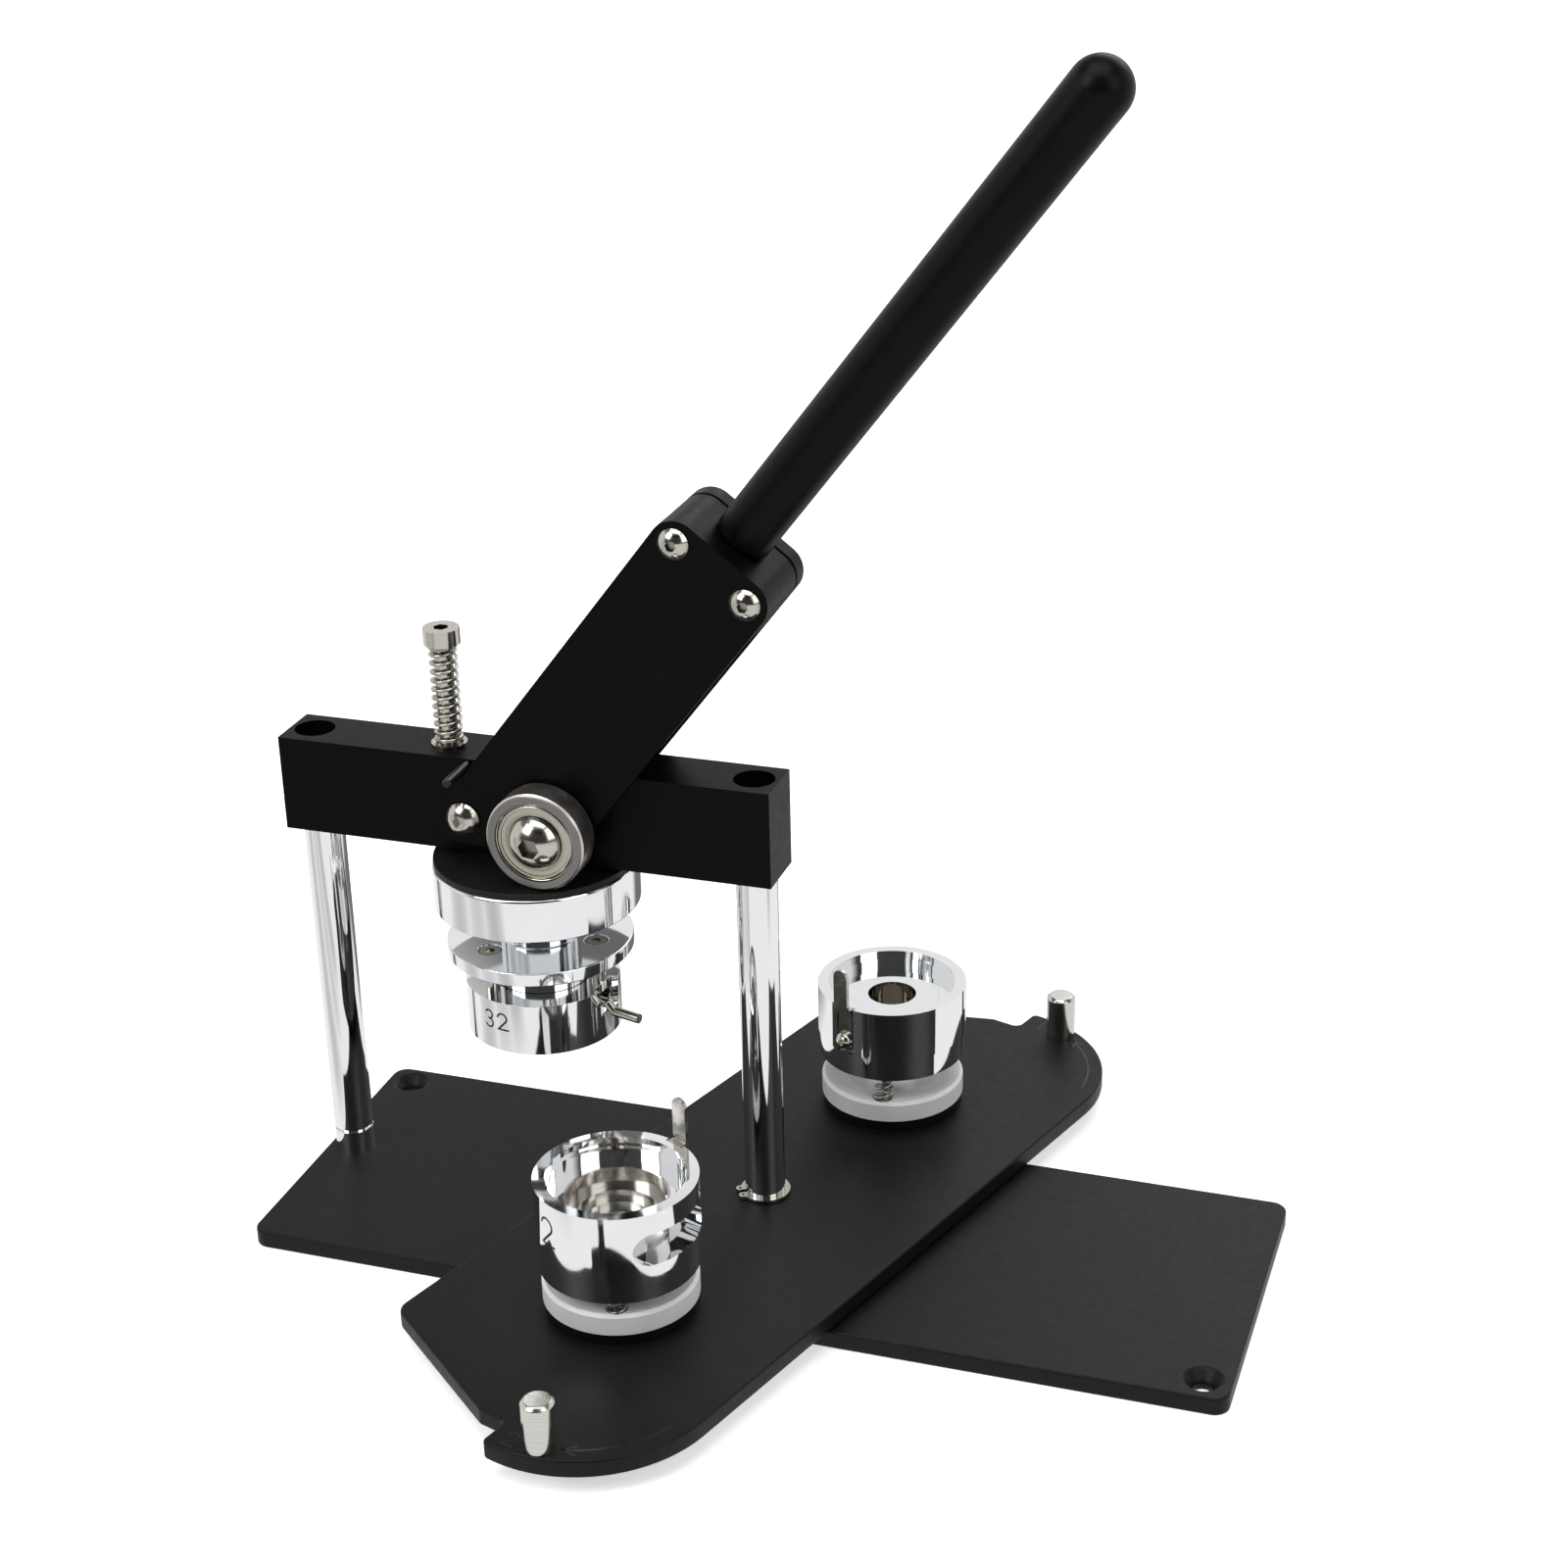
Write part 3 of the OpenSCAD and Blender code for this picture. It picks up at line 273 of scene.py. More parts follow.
def plated(name, colour, rough, centre=None, bore=None):
    """Bright plating. With a centre it has faint turning rings, and inside a bore of that radius a darker
    colour, which is painted shade.
    """
    m, t, b = base_material(name, colour, rough, 1.0)
    tint(t, b, object_noise(t, 90, 3), tuple(c * 0.97 for c in colour), colour)
    if bore:
        # painted shade inside the bore
        recolour(t, b, centre, 2, bore, BORE_SHADE, "LESS_THAN")
    spread(t, object_noise(t, 160, 4), rough * 0.8, rough * 1.6, b.inputs["Roughness"])
    if centre is not None:
        bump(t, b, turning_lines(t, centre, 2, 5.0), 0.12, 0.000004)
    return m


def turned(name, dark, light, rough, centre=None, axis=2, per_mm=6.0, depth=0.000012, rim=None):
    """Bare or nickelled steel with tool marks. A rim, (radius, colour), gives a lighter colour beyond that
    radius, which is a painted highlight.
    """
    m, t, b = base_material(name, light, rough, 1.0)
    if centre is None:
        lines = object_noise(t, 1500, 2, (1, 1, 12))
    else:
        lines = turning_lines(t, centre, axis, per_mm)
    tint(t, b, lines, dark, light)
    # painted highlight beyond the rim's radius
    if rim:
        recolour(t, b, centre, axis, *rim, "GREATER_THAN")
    spread(t, object_noise(t, 200, 3), rough * 0.85, rough * 1.25, b.inputs["Roughness"])
    bump(t, b, lines, 0.3, depth)
    return m


def moulded(name, dark, light, rough, spec=0.4):
    """Plastic, or paint in a groove."""
    m, t, b = base_material(name, light, rough, 0.0, spec)
    tint(t, b, object_noise(t, 120, 3), dark, light)
    spread(t, object_noise(t, 300, 3), rough - 0.06, rough + 0.06, b.inputs["Roughness"])
    bump(t, b, object_noise(t, 900, 2), 0.15, 0.00005)
    return m


CHROME = (0.83, 0.84, 0.85)
NICKEL = ((0.46, 0.44, 0.39), (0.60, 0.58, 0.52))
PIN = ((0.54, 0.53, 0.49), (0.70, 0.69, 0.65))
# painted highlight: the lighter colour on the outer rim of the bearings' outer rings
RIM_HIGHLIGHT = (0.66, 0.63, 0.60)
# die 1's core is coloured darker inside this radius, as painted shade in its bore
CORE_1_BORE = 8.15  # radius, mm
SATIN = ((0.0018, 0.0018, 0.002), (0.0026, 0.0026, 0.0029))
GRIP = ((0.0016, 0.0016, 0.0019), (0.0024, 0.0024, 0.0028))
ram_line, line_1, line_2 = (*ram_axis, 0), (*die_1, 0), (*die_2, 0)
RECIPES = {  # name: function and its values
    "black_paint": (powder_coat, (0.0028, 0.0028, 0.0031), (0.004, 0.004, 0.0044), 0.45, 0.2),
    "black_satin": (powder_coat, *SATIN, 0.36, 0.07, 0.08),
    "black_grip": (powder_coat, *GRIP, 0.36, 0.1, 0.12),
    "chrome": (plated, CHROME, 0.045),
    "chrome_ram": (plated, CHROME, 0.05, ram_line),
    "chrome_die_1": (plated, CHROME, 0.045, line_1),
    "chrome_core_1": (plated, CHROME, 0.045, line_1, CORE_1_BORE),
    "chrome_die_2": (plated, CHROME, 0.045, line_2),
    "nickel": (turned, *NICKEL, 0.16, None, 2, 1.0, 0.000002),
    "tab_nickel": (turned, (0.50, 0.48, 0.43), (0.58, 0.56, 0.51), 0.24, None, 2, 1.0, 0.000001),
    "core_nickel": (turned, (0.50, 0.48, 0.445), (0.68, 0.665, 0.64), 0.16, line_2, 2, 4.0),
    "pin_1": (turned, *PIN, 0.18, tuple(middle("finger_pin_1")), 2, 3.0, 0.000004),
    "pin_2": (turned, *PIN, 0.18, tuple(middle("finger_pin_2")), 2, 3.0, 0.000004),
    "steel": (turned, (0.20, 0.195, 0.19), (0.32, 0.315, 0.31), 0.26),
    # the bearings' outer rings, with a painted highlight on their outer rim
    "race_steel": (turned, (0.20, 0.187, 0.175), (0.28, 0.265, 0.25), 0.32, tuple(axle), 1, 3.0,
                   0.000006, (bearing_r - 0.5, RIM_HIGHLIGHT)),
    "spring_steel": (turned, (0.40, 0.385, 0.35), (0.58, 0.56, 0.51), 0.24),
    "black_steel": (powder_coat, (0.004, 0.004, 0.004), (0.007, 0.007, 0.007), 0.32, 0.4),
    "white_plastic": (moulded, (0.80, 0.80, 0.79), (0.86, 0.86, 0.85), 0.42),
    "black_pad": (moulded, (0.003, 0.003, 0.0034), (0.005, 0.005, 0.0055), 0.5, 0.3),
    "shield": (turned, (0.42, 0.415, 0.335), (0.56, 0.555, 0.46), 0.24, tuple(axle), 1, 2.0, 0.000004),
    "groove": (moulded, (0.002, 0.002, 0.0022), (0.004, 0.004, 0.0043), 0.3, 0.34),
    # painted shade inside the screw sockets: dark walls and a less dark floor
    "socket_wall": (turned, (0.045, 0.042, 0.038), (0.08, 0.075, 0.07), 0.3),
    "socket_floor": (turned, (0.22, 0.21, 0.19), (0.34, 0.325, 0.30), 0.3),
    "engraving": (moulded, (0.002, 0.002, 0.0022), (0.003, 0.003, 0.0033), 0.3, 0.3),
}
MATS = {name: make(name, *values) for name, (make, *values) in RECIPES.items()}

slot_of = {s["node"]: s["material_slot"] for s in frame["record"]["subparts"]}
FINER = {  # the nodes whose look is finer than their slot says
    "chrome_ram": ("press_disc", "upper_flange", "punch_core", "skirt", "skirt_cover"),
    "chrome_die_1": ("die_1_ring",),
    "chrome_core_1": ("die_1_core",),
    "chrome_die_2": ("die_2_ring",),
    "core_nickel": ("die_2_core",),
    "tab_nickel": ("die_1_tab", "die_2_tab"),
    "pin_1": ("finger_pin_1",),
    "pin_2": ("finger_pin_2",),
    "race_steel": ("front_bearing_outer", "rear_bearing_outer"),
    "black_steel": ("stop_pin",),
    "black_satin": ("crossbar", "lever_plate_front", "lever_plate_rear", "lever_block"),
}
look_of = {**slot_of, **{node: look for look, group in FINER.items() for node in group}}
for name, obj in nodes.items():
    obj.data.materials.clear()
    obj.data.materials.append(MATS[look_of[name]])

# ---------- small bevels on the hard-edged CAD pieces ----------

BEVELS = {  # width in mm: nodes
    0.8: ("swivel_plate", "lever_plate_front", "lever_plate_rear"),
    0.7: ("base_plate",),
    0.6: ("crossbar",),
    0.5: ("lever_block", "die_1_seat", "die_2_seat"),
    0.45: ("press_disc",),
    0.4: ("upper_flange", "die_1_foot", "die_2_foot"),
    0.35: ("skirt",),
    0.3: ("press_pad",),
    0.2: ("die_1_core", "finger_pin_1", "finger_pin_2"),
    0.16: ("die_1_ring", "die_2_ring"),
    0.15: ("die_2_core", "die_1_tab", "die_2_tab"),
}
UNCLAMPED = ("base_plate", "swivel_plate")  # their short edges would shrink every bevel of the plate


def soften(obj, width, clamp):
    """Rounds the hard edges by width, with shading that keeps flat faces flat and round walls round."""
    w = obj.modifiers.new("weld", "WELD")
    w.merge_threshold = 0.000002
    d = obj.modifiers.new("flat", "DECIMATE")
    d.decimate_type = "DISSOLVE"
    d.angle_limit = math.radians(0.4)
    b = obj.modifiers.new("edge", "BEVEL")
    b.width = width * MM
    b.segments = 3
    b.limit_method = "ANGLE"
    b.angle_limit = math.radians(35)
    b.use_clamp_overlap = clamp
    n = obj.modifiers.new("shade", "WEIGHTED_NORMAL")
    n.mode = "FACE_AREA"
    n.weight = 60
    n.keep_sharp = False


for width, group in BEVELS.items():
    for name in group:
        soften(nodes[name], width, name not in UNCLAMPED)

# ---------- added pieces ----------


def finish_piece(obj, material, body):
    """Puts an added piece in the scene, riding on its body."""
    bpy.context.scene.collection.objects.link(obj)
    obj.data.materials.append(MATS[material])
    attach(obj, body)
    return obj


def mesh_object(name, verts, faces, sharp_angle=None):
    """An object from points in millimetres, shaded smooth below sharp_angle degrees."""
    me = bpy.data.meshes.new(name)
    me.from_pydata([tuple(Vector(v) * MM) for v in verts], [], faces)
    me.validate()
    me.polygons.foreach_set("use_smooth", [True] * len(me.polygons))
    if sharp_angle:
        me.set_sharp_from_angle(angle=math.radians(sharp_angle))
    me.update()
    return bpy.data.objects.new(name, me)


def tube_mesh(paths, wire_r, sides):
    """Round wire along each path of points, with closed ends."""
    verts, faces = [], []
    for path in paths:
        first = len(verts)
        side = None
        for i, p in enumerate(path):
            a = path[max(i - 1, 0)]
            b = path[min(i + 1, len(path) - 1)]
            d = (b - a).normalized()
            if side is None:
                side = d.orthogonal().normalized()
            side = (side - d * side.dot(d)).normalized()
            up = d.cross(side)
            for k in range(sides):
                q = 2 * math.pi * k / sides
                verts.append(p + side * math.cos(q) * wire_r + up * math.sin(q) * wire_r)
        for i in range(len(path) - 1):
            for k in range(sides):
                n = (k + 1) % sides
                a = first + i * sides
                faces.append((a + k, a + n, a + sides + n, a + sides + k))
        faces.append(tuple(first + k for k in reversed(range(sides))))
        last = first + (len(path) - 1) * sides
        faces.append(tuple(last + k for k in range(sides)))
    return verts, faces


def coil(centre, orbit, wire, z0, z1, turns, start):
    """A compression spring with closed ends: the first and last turn lie almost flat."""
    steps = 30  # to a turn
    flat = 0.9  # of a turn, at each end
    closed = wire * 1.02  # the rise of a turn that lies on the next one
    n = int(turns * steps)
    z0 += wire / 2
    z1 -= wire / 2
    pts = []
    for i in range(n + 1):
        u = turns * i / n
        if u < flat:
            z = z0 + closed * u
        elif u > turns - flat:
            z = z1 - closed * (turns - u)
        else:
            lo, hi = z0 + closed * flat, z1 - closed * flat
            f = (u - flat) / (turns - 2 * flat)
            z = lo + (hi - lo) * f
        a = start + 2 * math.pi * u
        pts.append(Vector((centre[0] + orbit * math.cos(a), centre[1] + orbit * math.sin(a), z)))
    return pts


def spring_pieces(name, node, wire, turns, body):
    """Smooth coils in place of a node's springs."""
    start, next_start = 0.6, 1.9  # radians, so that the springs don't all end on the same side
    boxes = [box_of(p) for p in islands(node)]
    z0 = min(b[0].z for b in boxes)
    z1 = max(b[1].z for b in boxes)
    paths = []
    for k, (lo, hi) in enumerate(boxes):
        c = (lo + hi) / 2
        paths.append(coil(c, (hi.x - lo.x) / 2 - wire / 2, wire, z0, z1, turns, start + next_start * k))
    obj = mesh_object(name, *tube_mesh(paths, wire / 2, 10))
    finish_piece(obj, "spring_steel", body)
    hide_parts(node)
    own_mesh(obj)


spring_pieces("return_spring_coils", "return_springs", 1.1, 12, "frame")
spring_pieces("die_1_spring_coils", "die_1_springs", 0.9, 7, "swivel")
spring_pieces("die_2_spring_coils", "die_2_springs", 0.9, 6.5, "swivel")


def lathe(name, profile, centre, axis):
    """A closed profile of (radius, height) points, turned round axis (0 X, 1 Y, 2 Z) through centre."""
    segments, sharp = 144, 28
    across = [i for i in range(3) if i != axis]
    verts, faces = [], []
    m = len(profile)
    for k in range(segments):
        a = 2 * math.pi * k / segments
        for r, h in profile:
            p = Vector((0, 0, 0))
            p[across[0]] = centre[across[0]] + r * math.cos(a)
            p[across[1]] = centre[across[1]] + r * math.sin(a)
            p[axis] = h
            verts.append(p)
    for k in range(segments):
        n = (k + 1) % segments
        for i in range(m):
            j = (i + 1) % m
            faces.append((k * m + i, k * m + j, n * m + j, n * m + i))
    me = mesh_object(name, verts, faces, sharp)
    bm = bmesh.new()
    bm.from_mesh(me.data)
    bmesh.ops.recalc_face_normals(bm, faces=bm.faces)
    bm.to_mesh(me.data)
    bm.free()
    return me


def bearing_shields(side):
    """A bearing's two pressed shields, each with a raised ring, an inner step and a wire clip round it."""
    node = side + "_bearing_shields"
    clip_in, clip_r, clip_sides = 0.42, 0.2, 10
    reach = [math.hypot(v.co.x / MM - axle.x, v.co.z / MM - axle.z) for v in nodes[node].data.vertices]
    r_in, r_out = min(reach), max(reach)
    mid_y = middle(side + "_bearing_outer").y
    pieces = []
    for k, points in enumerate(islands(node)):
        lo, hi = box_of(points)
        outward = -1 if (lo.y + hi.y) / 2 < mid_y else 1
        inner_y, outer_y = (hi.y, lo.y) if outward < 0 else (lo.y, hi.y)
        up = 0.14 * outward
        edge = r_out - 0.95
        face = [(edge, outer_y), (edge - 0.25, outer_y + up), (edge - 0.9, outer_y + up),
                (edge - 1.05, outer_y - up), (r_in + 0.6, outer_y - up), (r_in + 0.45, outer_y - up * 2),
                (r_in, outer_y - up * 2)]
        piece = lathe("%s_shield_%d" % (side, k), face + [(r_in, inner_y), (edge, inner_y)], axle, 1)
        wire = [(r_out - clip_in + clip_r * math.cos(a), outer_y + clip_r * math.sin(a))
                for a in (2 * math.pi * i / clip_sides for i in range(clip_sides))]
        clip = lathe("%s_shield_clip_%d" % (side, k), wire, axle, 1)
        finish_piece(clip, "nickel", side + "_bearing")
        pieces.append(clip)
        finish_piece(piece, "shield", side + "_bearing")
        pieces.append(piece)
    for piece in pieces:
        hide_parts(node)


bearing_shields("front")
bearing_shields("rear")

# ---------- painted shade inside the hex sockets -----


def hexagon_in(points, c, axis, top):
    """The socket in a screw's head: its radius, first corner's angle, and shallowest and deepest corner."""
    across = [i for i in range(3) if i != axis]
    head_depth, same = 4.5, 0.02

    def from_axis(p):
        return math.hypot(p[across[0]] - c[across[0]], p[across[1]] - c[across[1]])

    reach = [(from_axis(p), p) for p in points if abs(p[axis] - top) < head_depth]
    wide = max(r for r, p in reach)
    sunk = [r for r, p in reach if 0.3 < r < 0.48 * wide and abs(p[axis] - top) > 0.09 * wide + 0.2]
    if not sunk:
        return None
    r = max(sunk)
    corners = [(abs(p[axis] - top), p) for q, p in reach if abs(q - r) < same]
    deepest = max(d for d, p in corners)
    first = next(p for d, p in corners if d > deepest - same)
    start = math.atan2(first[across[1]] - c[across[1]], first[across[0]] - c[across[0]])
    return r, start, min(d for d, p in corners), deepest


def sockets(name, node, axis, sides, body):
    """A thin dark lining in each screw's socket, just inside the walls that the node has: painted shade,
    darker on the walls than on the floor.
    """
    across = [i for i in range(3) if i != axis]
    off_wall, off_rim, off_floor = 0.06, 0.12, 0.04
    verts, faces, floors = [], [], []
    for points in islands(node):
        lo, hi = box_of(points)
        c = (lo + hi) / 2
        for sign in sides:
            top = (hi if sign > 0 else lo)[axis]
            found = hexagon_in(points, c, axis, top)
            if found is None:
                continue
            r, start, shallowest, deepest = found
            first = len(verts)
            for d in (shallowest + off_rim, deepest - off_floor):
                for k in range(6):
                    a = start + math.pi / 3 * k
                    p = c.copy()
                    p[axis] = top - sign * d
                    p[across[0]] += (r - off_wall) * math.cos(a)
                    p[across[1]] += (r - off_wall) * math.sin(a)
                    verts.append(p)
            for k in range(6):
                n = (k + 1) % 6
                faces.append((first + k, first + n, first + 6 + n, first + 6 + k))
            floors.append(len(faces))
            faces.append(tuple(first + 6 + k for k in range(6)))
    obj = mesh_object(name, verts, faces, 20)
    finish_piece(obj, "socket_wall", body)
    obj.data.materials.append(MATS["socket_floor"])
    for f in floors:
        obj.data.polygons[f].material_index = 1


sockets("lever_screw_socket_shade", "lever_screws", 1, (-1, 1), "lever")
sockets("bearing_bolt_socket_shade", "bearing_bolts", 1, (-1, 1), "lever")
sockets("guide_screw_socket_shade", "guide_screws", 2, (1,), "ram")

# ---------- engraved lines and plain numbers ----------


LINE_HEIGHT = 0.03  # above the surface and below it


def strokes(name, paths, width, body, material="engraving"):
    """Thin inlaid lines, a hair above the surface. Each path is a list of (point, surface normal)."""
    verts, faces = [], []
    for path in paths:
        first = len(verts)
        n = len(path)
        for i, (p, up) in enumerate(path):
            a = path[max(i - 1, 0)][0]
            b = path[min(i + 1, n - 1)][0]
            d0 = (p - a).normalized() if i else (b - p).normalized()
            d1 = (b - p).normalized() if i < n - 1 else d0
            d = (d0 + d1).normalized()
            side = up.cross(d).normalized()
            half = width / 2 / max(0.5, d.dot(d0))
            end = d * (width / 2 * (-1 if i == 0 else 1 if i == n - 1 else 0))
            for share, h in ((-1, -LINE_HEIGHT), (-0.8, LINE_HEIGHT), (0.8, LINE_HEIGHT), (1, -LINE_HEIGHT)):
                verts.append(p + end + side * (half * share) + up * h)
        for i in range(n - 1):
            a = first + 4 * i
            for k in range(4):
                j = (k + 1) % 4
                faces.append((a + k, a + 4 + k, a + 4 + j, a + j))
        faces.append((first, first + 1, first + 2, first + 3))
        e = first + 4 * (n - 1)
        faces.append((e + 3, e + 2, e + 1, e))
    obj = mesh_object(name, verts, faces, 20)
    return finish_piece(obj, material, body)


def split(line, step):
    """The same line with more points, at most step apart."""
    out = [line[0]]
    for a, b in zip(line, line[1:]):
        n = max(1, math.ceil(math.dist(a, b) / step))
        out += [(a[0] + (b[0] - a[0]) * i / n, a[1] + (b[1] - a[1]) * i / n) for i in range(1, n + 1)]
    return out


def arc(cx, cy, r, a0, a1, steps=10):
    """Points of an arc, from a0 to a1 degrees."""
    return [(cx + r * math.cos(math.radians(a0 + (a1 - a0) * i / steps)),
             cy + r * math.sin(math.radians(a0 + (a1 - a0) * i / steps))) for i in range(steps + 1)]


DIGITS = {  # strokes in a box one high, read from its lower left corner
    "1": [[(0.10, 0.76), (0.36, 1.0), (0.36, 0.0)]],
    "2": [arc(0.32, 0.70, 0.28, 165, -38) + [(0.06, 0.03), (0.66, 0.03)]],
    "3": [arc(0.31, 0.75, 0.24, 150, -90), arc(0.31, 0.26, 0.26, 90, -150)],
}


UP = Vector((0, 0, 1))
PLATE_LINE = 0.8


def plate_digit(name, digit, s, t, up_s, size):
    """A number on the swivel plate, with its top towards the pivot. up_s is the sign of that direction."""
    paths = []
    for line in DIGITS[digit]:
        paths.append([(on_plate(s + up_s * (y - 0.5) * size, t - up_s * (x - 0.35) * size), UP)
                      for x, y in line])
    strokes(name, paths, PLATE_LINE, "swivel", "groove")


def wall_text(name, text, centre, wall_r, turn, z, size, width, body):
    """Numbers round a cylinder's wall, read from outside. turn is where their middle is, in degrees."""
    advance = 0.86 * size
    paths = []
    for k, digit in enumerate(text):
        start = (k - len(text) / 2) * advance
        for line in DIGITS[digit]:
            path = []
            for x, y in split(line, 0.08):
                a = math.radians(turn) + (start + x * size) / wall_r
                up = Vector((math.cos(a), math.sin(a), 0))
                path.append((Vector((centre[0], centre[1], z + (y - 0.5) * size)) + up * wall_r, up))
            paths.append(path)
    strokes(name, paths, width, body)


def arrow(name, mirror):
    """A curved arrow near the edge of a lobe, from its tail to a small head beside the finger pin."""
    centre_s, centre_t, r = 107.7, -14.0, 38.0
    tail_at, tip_at = -79, -29  # degrees
    barb, barb_turn = 4.2, 152
    line = arc(centre_s, centre_t, r, tail_at, tip_at, 22)
    tip = line[-1]
    barbs = []
    for turn in (barb_turn, -barb_turn):
        a = math.radians(tip_at + 90 + turn)
        barbs.append([(tip[0] + barb * math.cos(a), tip[1] + barb * math.sin(a)), tip])
    paths = [[(on_plate(mirror * s, t), UP) for s, t in pts] for pts in [line] + barbs]
    strokes(name, paths, PLATE_LINE, "swivel", "groove")


arrow("arrow_1", 1)
arrow("arrow_2", -1)
plate_digit("station_1", "1", 145.3, -17.2, -1, 6.0)
plate_digit("station_2", "2", -145.3, -17.2, 1, 6.0)
wall_text("ring_number_2", "2", die_2, outer_r("die_2_ring"), -122, 47.4, 9.5, 0.9, "die_2_slider")
wall_text("ring_number_1", "1", die_1, outer_r("die_1_ring"), 58, 47.4, 9.5, 0.9, "die_1_slider")
wall_text("size_number", "32", ram_axis, outer_r("skirt"), -104, 76.0, 6.0, 0.7, "skirt")

# ---------- floor, light and camera ----------

# dark strips on the floor: direction in degrees, half width, start in metres, depth
DARK_STRIPS = [(108.7, 28, 0.12, 0.80), (196, 7, 0.16, 0.35), (216, 5.5, 0.16, 0.28),
               (232, 5.5, 0.16, 0.4), (352, 7, 0.2, 0.35)]
FLOOR_GLOW = (0.35, 1.6, 0.55, 1.0)  # from and to, in metres from the middle, and the strengths there
OPEN_SIDE = (288.7, 74, 0.06)  # direction in degrees, half width, strength left
WALL_TOP = (0.53, 0.60)  # height of the view direction where the pale wall ends
WALL, CEILING = 0.92, 0.17
WHITE = (1, 1, 1, 1)


def seen_directly(tree):
    """1 for what the camera sees, also through glass, and the light path's node."""
    path = tree.nodes.new("ShaderNodeLightPath")
    seen = maths(tree, "MAXIMUM", path.outputs["Is Camera Ray"], path.outputs["Is Transmission Ray"])
    return seen, path


def floor_material():
    """A white floor. Metal sees it white close by, with dark strips where a studio's stands would be."""
    m, t, b = base_material("floor", (0.86, 0.86, 0.86), 0.9, 0.0, 0.1)
    b.inputs["Emission Color"].default_value = WHITE
    seen, path = seen_directly(t)
    c = t.nodes.new("ShaderNodeTexCoord")
    s = t.nodes.new("ShaderNodeSeparateXYZ")
    t.links.new(c.outputs["Object"], s.inputs[0])
    x, y = s.outputs["X"], s.outputs["Y"]
    far = length_of(t, x, y)
    t.links.new(maths(t, "MULTIPLY", seen, map_range(t, far, *FLOOR_GLOW)), b.inputs["Emission Strength"])
    blur, fade = 5, 0.05  # a strip's soft edge in degrees, and at its start in metres
    dark = None
    for turn, half, start, depth in DARK_STRIPS:
        near = maths(t, "DIVIDE", reach_along(t, x, y, turn), maths(t, "ADD", far, 0.0001))
        inside = map_range(t, near, math.cos(math.radians(half + blur)), math.cos(math.radians(half - blur)))
        away = map_range(t, far, start, start + fade)
        one = maths(t, "MULTIPLY", maths(t, "MULTIPLY", inside, away), depth)
        dark = one if dark is None else maths(t, "MAXIMUM", dark, one)
    shine = t.nodes.new("ShaderNodeEmission")
    shine.inputs["Color"].default_value = WHITE
    t.links.new(maths(t, "SUBTRACT", 0.98, dark), shine.inputs["Strength"])
    mix = t.nodes.new("ShaderNodeMixShader")
    t.links.new(path.outputs["Is Glossy Ray"], mix.inputs["Fac"])
    t.links.new(b.outputs[0], mix.inputs[1])
    t.links.new(shine.outputs[0], mix.inputs[2])
    t.links.new(mix.outputs[0], t.nodes["Material Output"].inputs["Surface"])
    return m


def floor():
    """The plane that the object stands on, which is no part of it."""
    bm = bmesh.new()
    bmesh.ops.create_grid(bm, x_segments=1, y_segments=1, size=6.0)
    me = bpy.data.meshes.new("floor")
    bm.to_mesh(me)
    bm.free()
    me.materials.append(floor_material())
    o = bpy.data.objects.new("floor", me)
    bpy.context.scene.collection.objects.link(o)


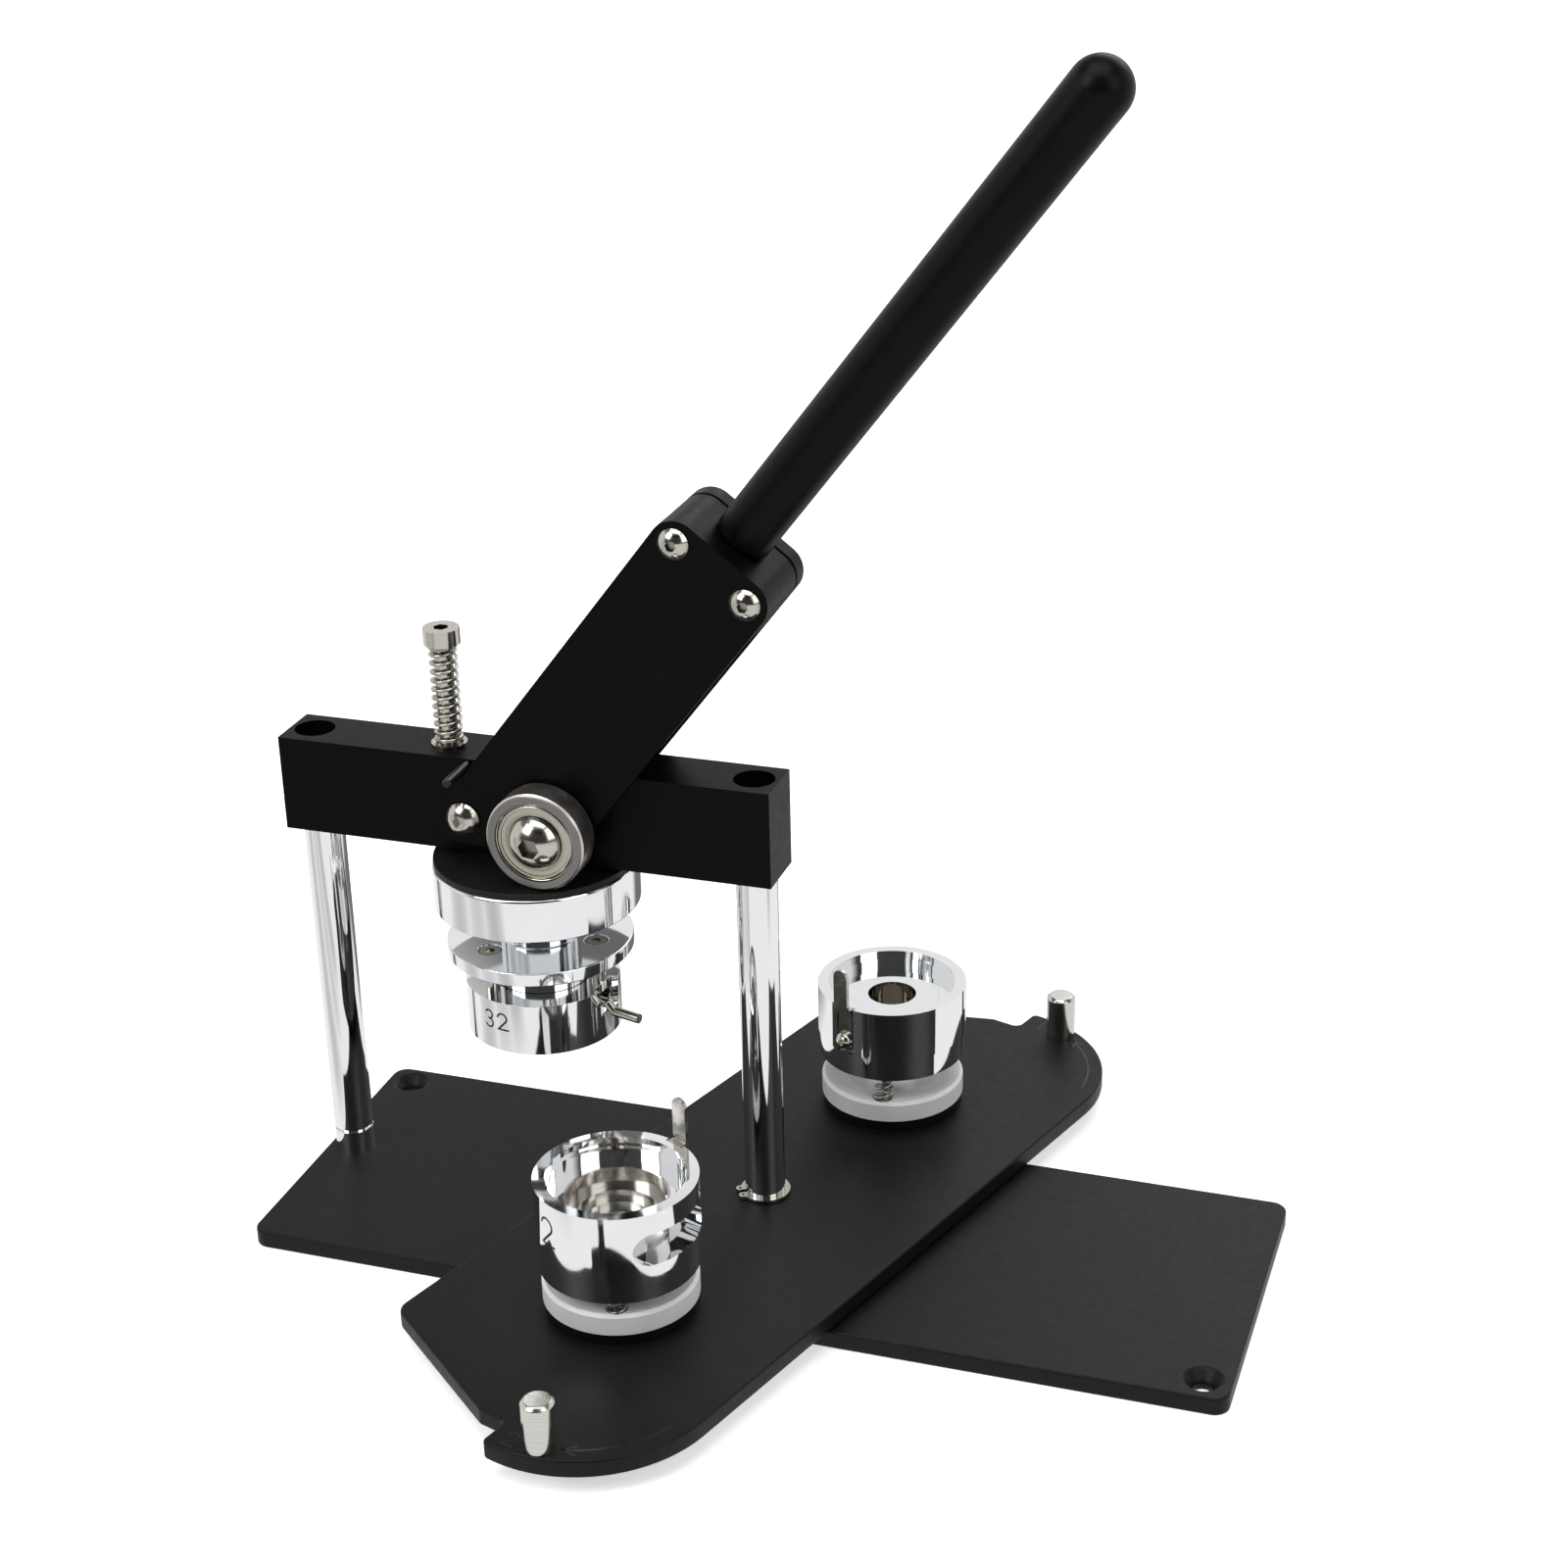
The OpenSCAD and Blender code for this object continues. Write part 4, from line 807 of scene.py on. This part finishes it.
def world():
    """Pale studio walls under a dark ceiling, open on one side. The camera sees a white background."""
    w = bpy.data.worlds.new("studio")
    bpy.context.scene.world = w
    w.use_nodes = True
    t = w.node_tree
    t.nodes.clear()
    out = t.nodes.new("ShaderNodeOutputWorld")
    coord = t.nodes.new("ShaderNodeTexCoord")
    sep = t.nodes.new("ShaderNodeSeparateXYZ")
    t.links.new(coord.outputs["Generated"], sep.inputs[0])
    x, y, z = sep.outputs["X"], sep.outputs["Y"], sep.outputs["Z"]
    wall = map_range(t, z, *WALL_TOP, WALL, CEILING)
    flat = maths(t, "SQRT", maths(t, "SUBTRACT", 1.0001, maths(t, "MULTIPLY", z, z)))
    turn, half, left_over = OPEN_SIDE
    blur = 8
    towards = maths(t, "DIVIDE", reach_along(t, x, y, turn), flat)
    side = map_range(t, towards, math.cos(math.radians(half + blur)), math.cos(math.radians(half - blur)),
                     1.0, left_over)
    room = t.nodes.new("ShaderNodeBackground")
    room.inputs["Color"].default_value = WHITE
    light = maths(t, "MAXIMUM", maths(t, "MULTIPLY", wall, side), seen_directly(t)[0])
    t.links.new(light, room.inputs["Strength"])
    t.links.new(room.outputs[0], out.inputs["Surface"])


def softbox(name, at, target, size, power):
    """A rectangular light of size metres, at a place and turned towards a target, both in metres."""
    d = bpy.data.lights.new(name, "AREA")
    d.shape = "RECTANGLE"
    d.size, d.size_y = size
    d.energy = power
    o = bpy.data.objects.new(name, d)
    o.location = at
    o.rotation_mode = "QUATERNION"
    o.rotation_quaternion = (Vector(target) - Vector(at)).to_track_quat("-Z", "Y")
    bpy.context.scene.collection.objects.link(o)


floor()
world()
softbox("key", (-0.9, -1.1, 1.3), (0, 0, 0.1), (0.9, 0.9), 13)
softbox("fill", (1.2, -0.6, 0.9), (0, 0, 0.1), (0.8, 1.2), 6)
softbox("back", (0.3, 1.3, 1.2), (0, 0, 0.1), (1.2, 0.7), 6)
softbox("top", (0, -0.3, 1.6), (0, 0, 0), (1.4, 1.0), 14)


def camera():
    """The view: the right, down and forward directions of the frame, the eye in mm, and the lens."""
    right = Vector((0.94971677, 0.31251917, -0.01923069))
    down = Vector((0.11414942, -0.40277227, -0.9081544))
    forward = Vector((-0.29156124, 0.86029429, -0.41819347))
    eye = Vector((254.288, -717.145, 497.097))
    picture, focal, centre_x, centre_y = 1600, 2819.95, 811.09, 838.5  # pixels
    c = bpy.data.cameras.new("camera")
    c.sensor_width = 36
    c.lens = focal * c.sensor_width / picture
    c.shift_x = (picture / 2 - centre_x) / picture
    c.shift_y = (centre_y - picture / 2) / picture
    c.clip_start, c.clip_end = 0.01, 20
    o = bpy.data.objects.new("camera", c)
    m = Matrix((right, -down, -forward)).transposed().to_4x4()
    m.translation = eye * MM
    o.matrix_world = m
    bpy.context.scene.collection.objects.link(o)
    bpy.context.scene.camera = o


camera()
bpy.context.scene.view_settings.view_transform = "Standard"
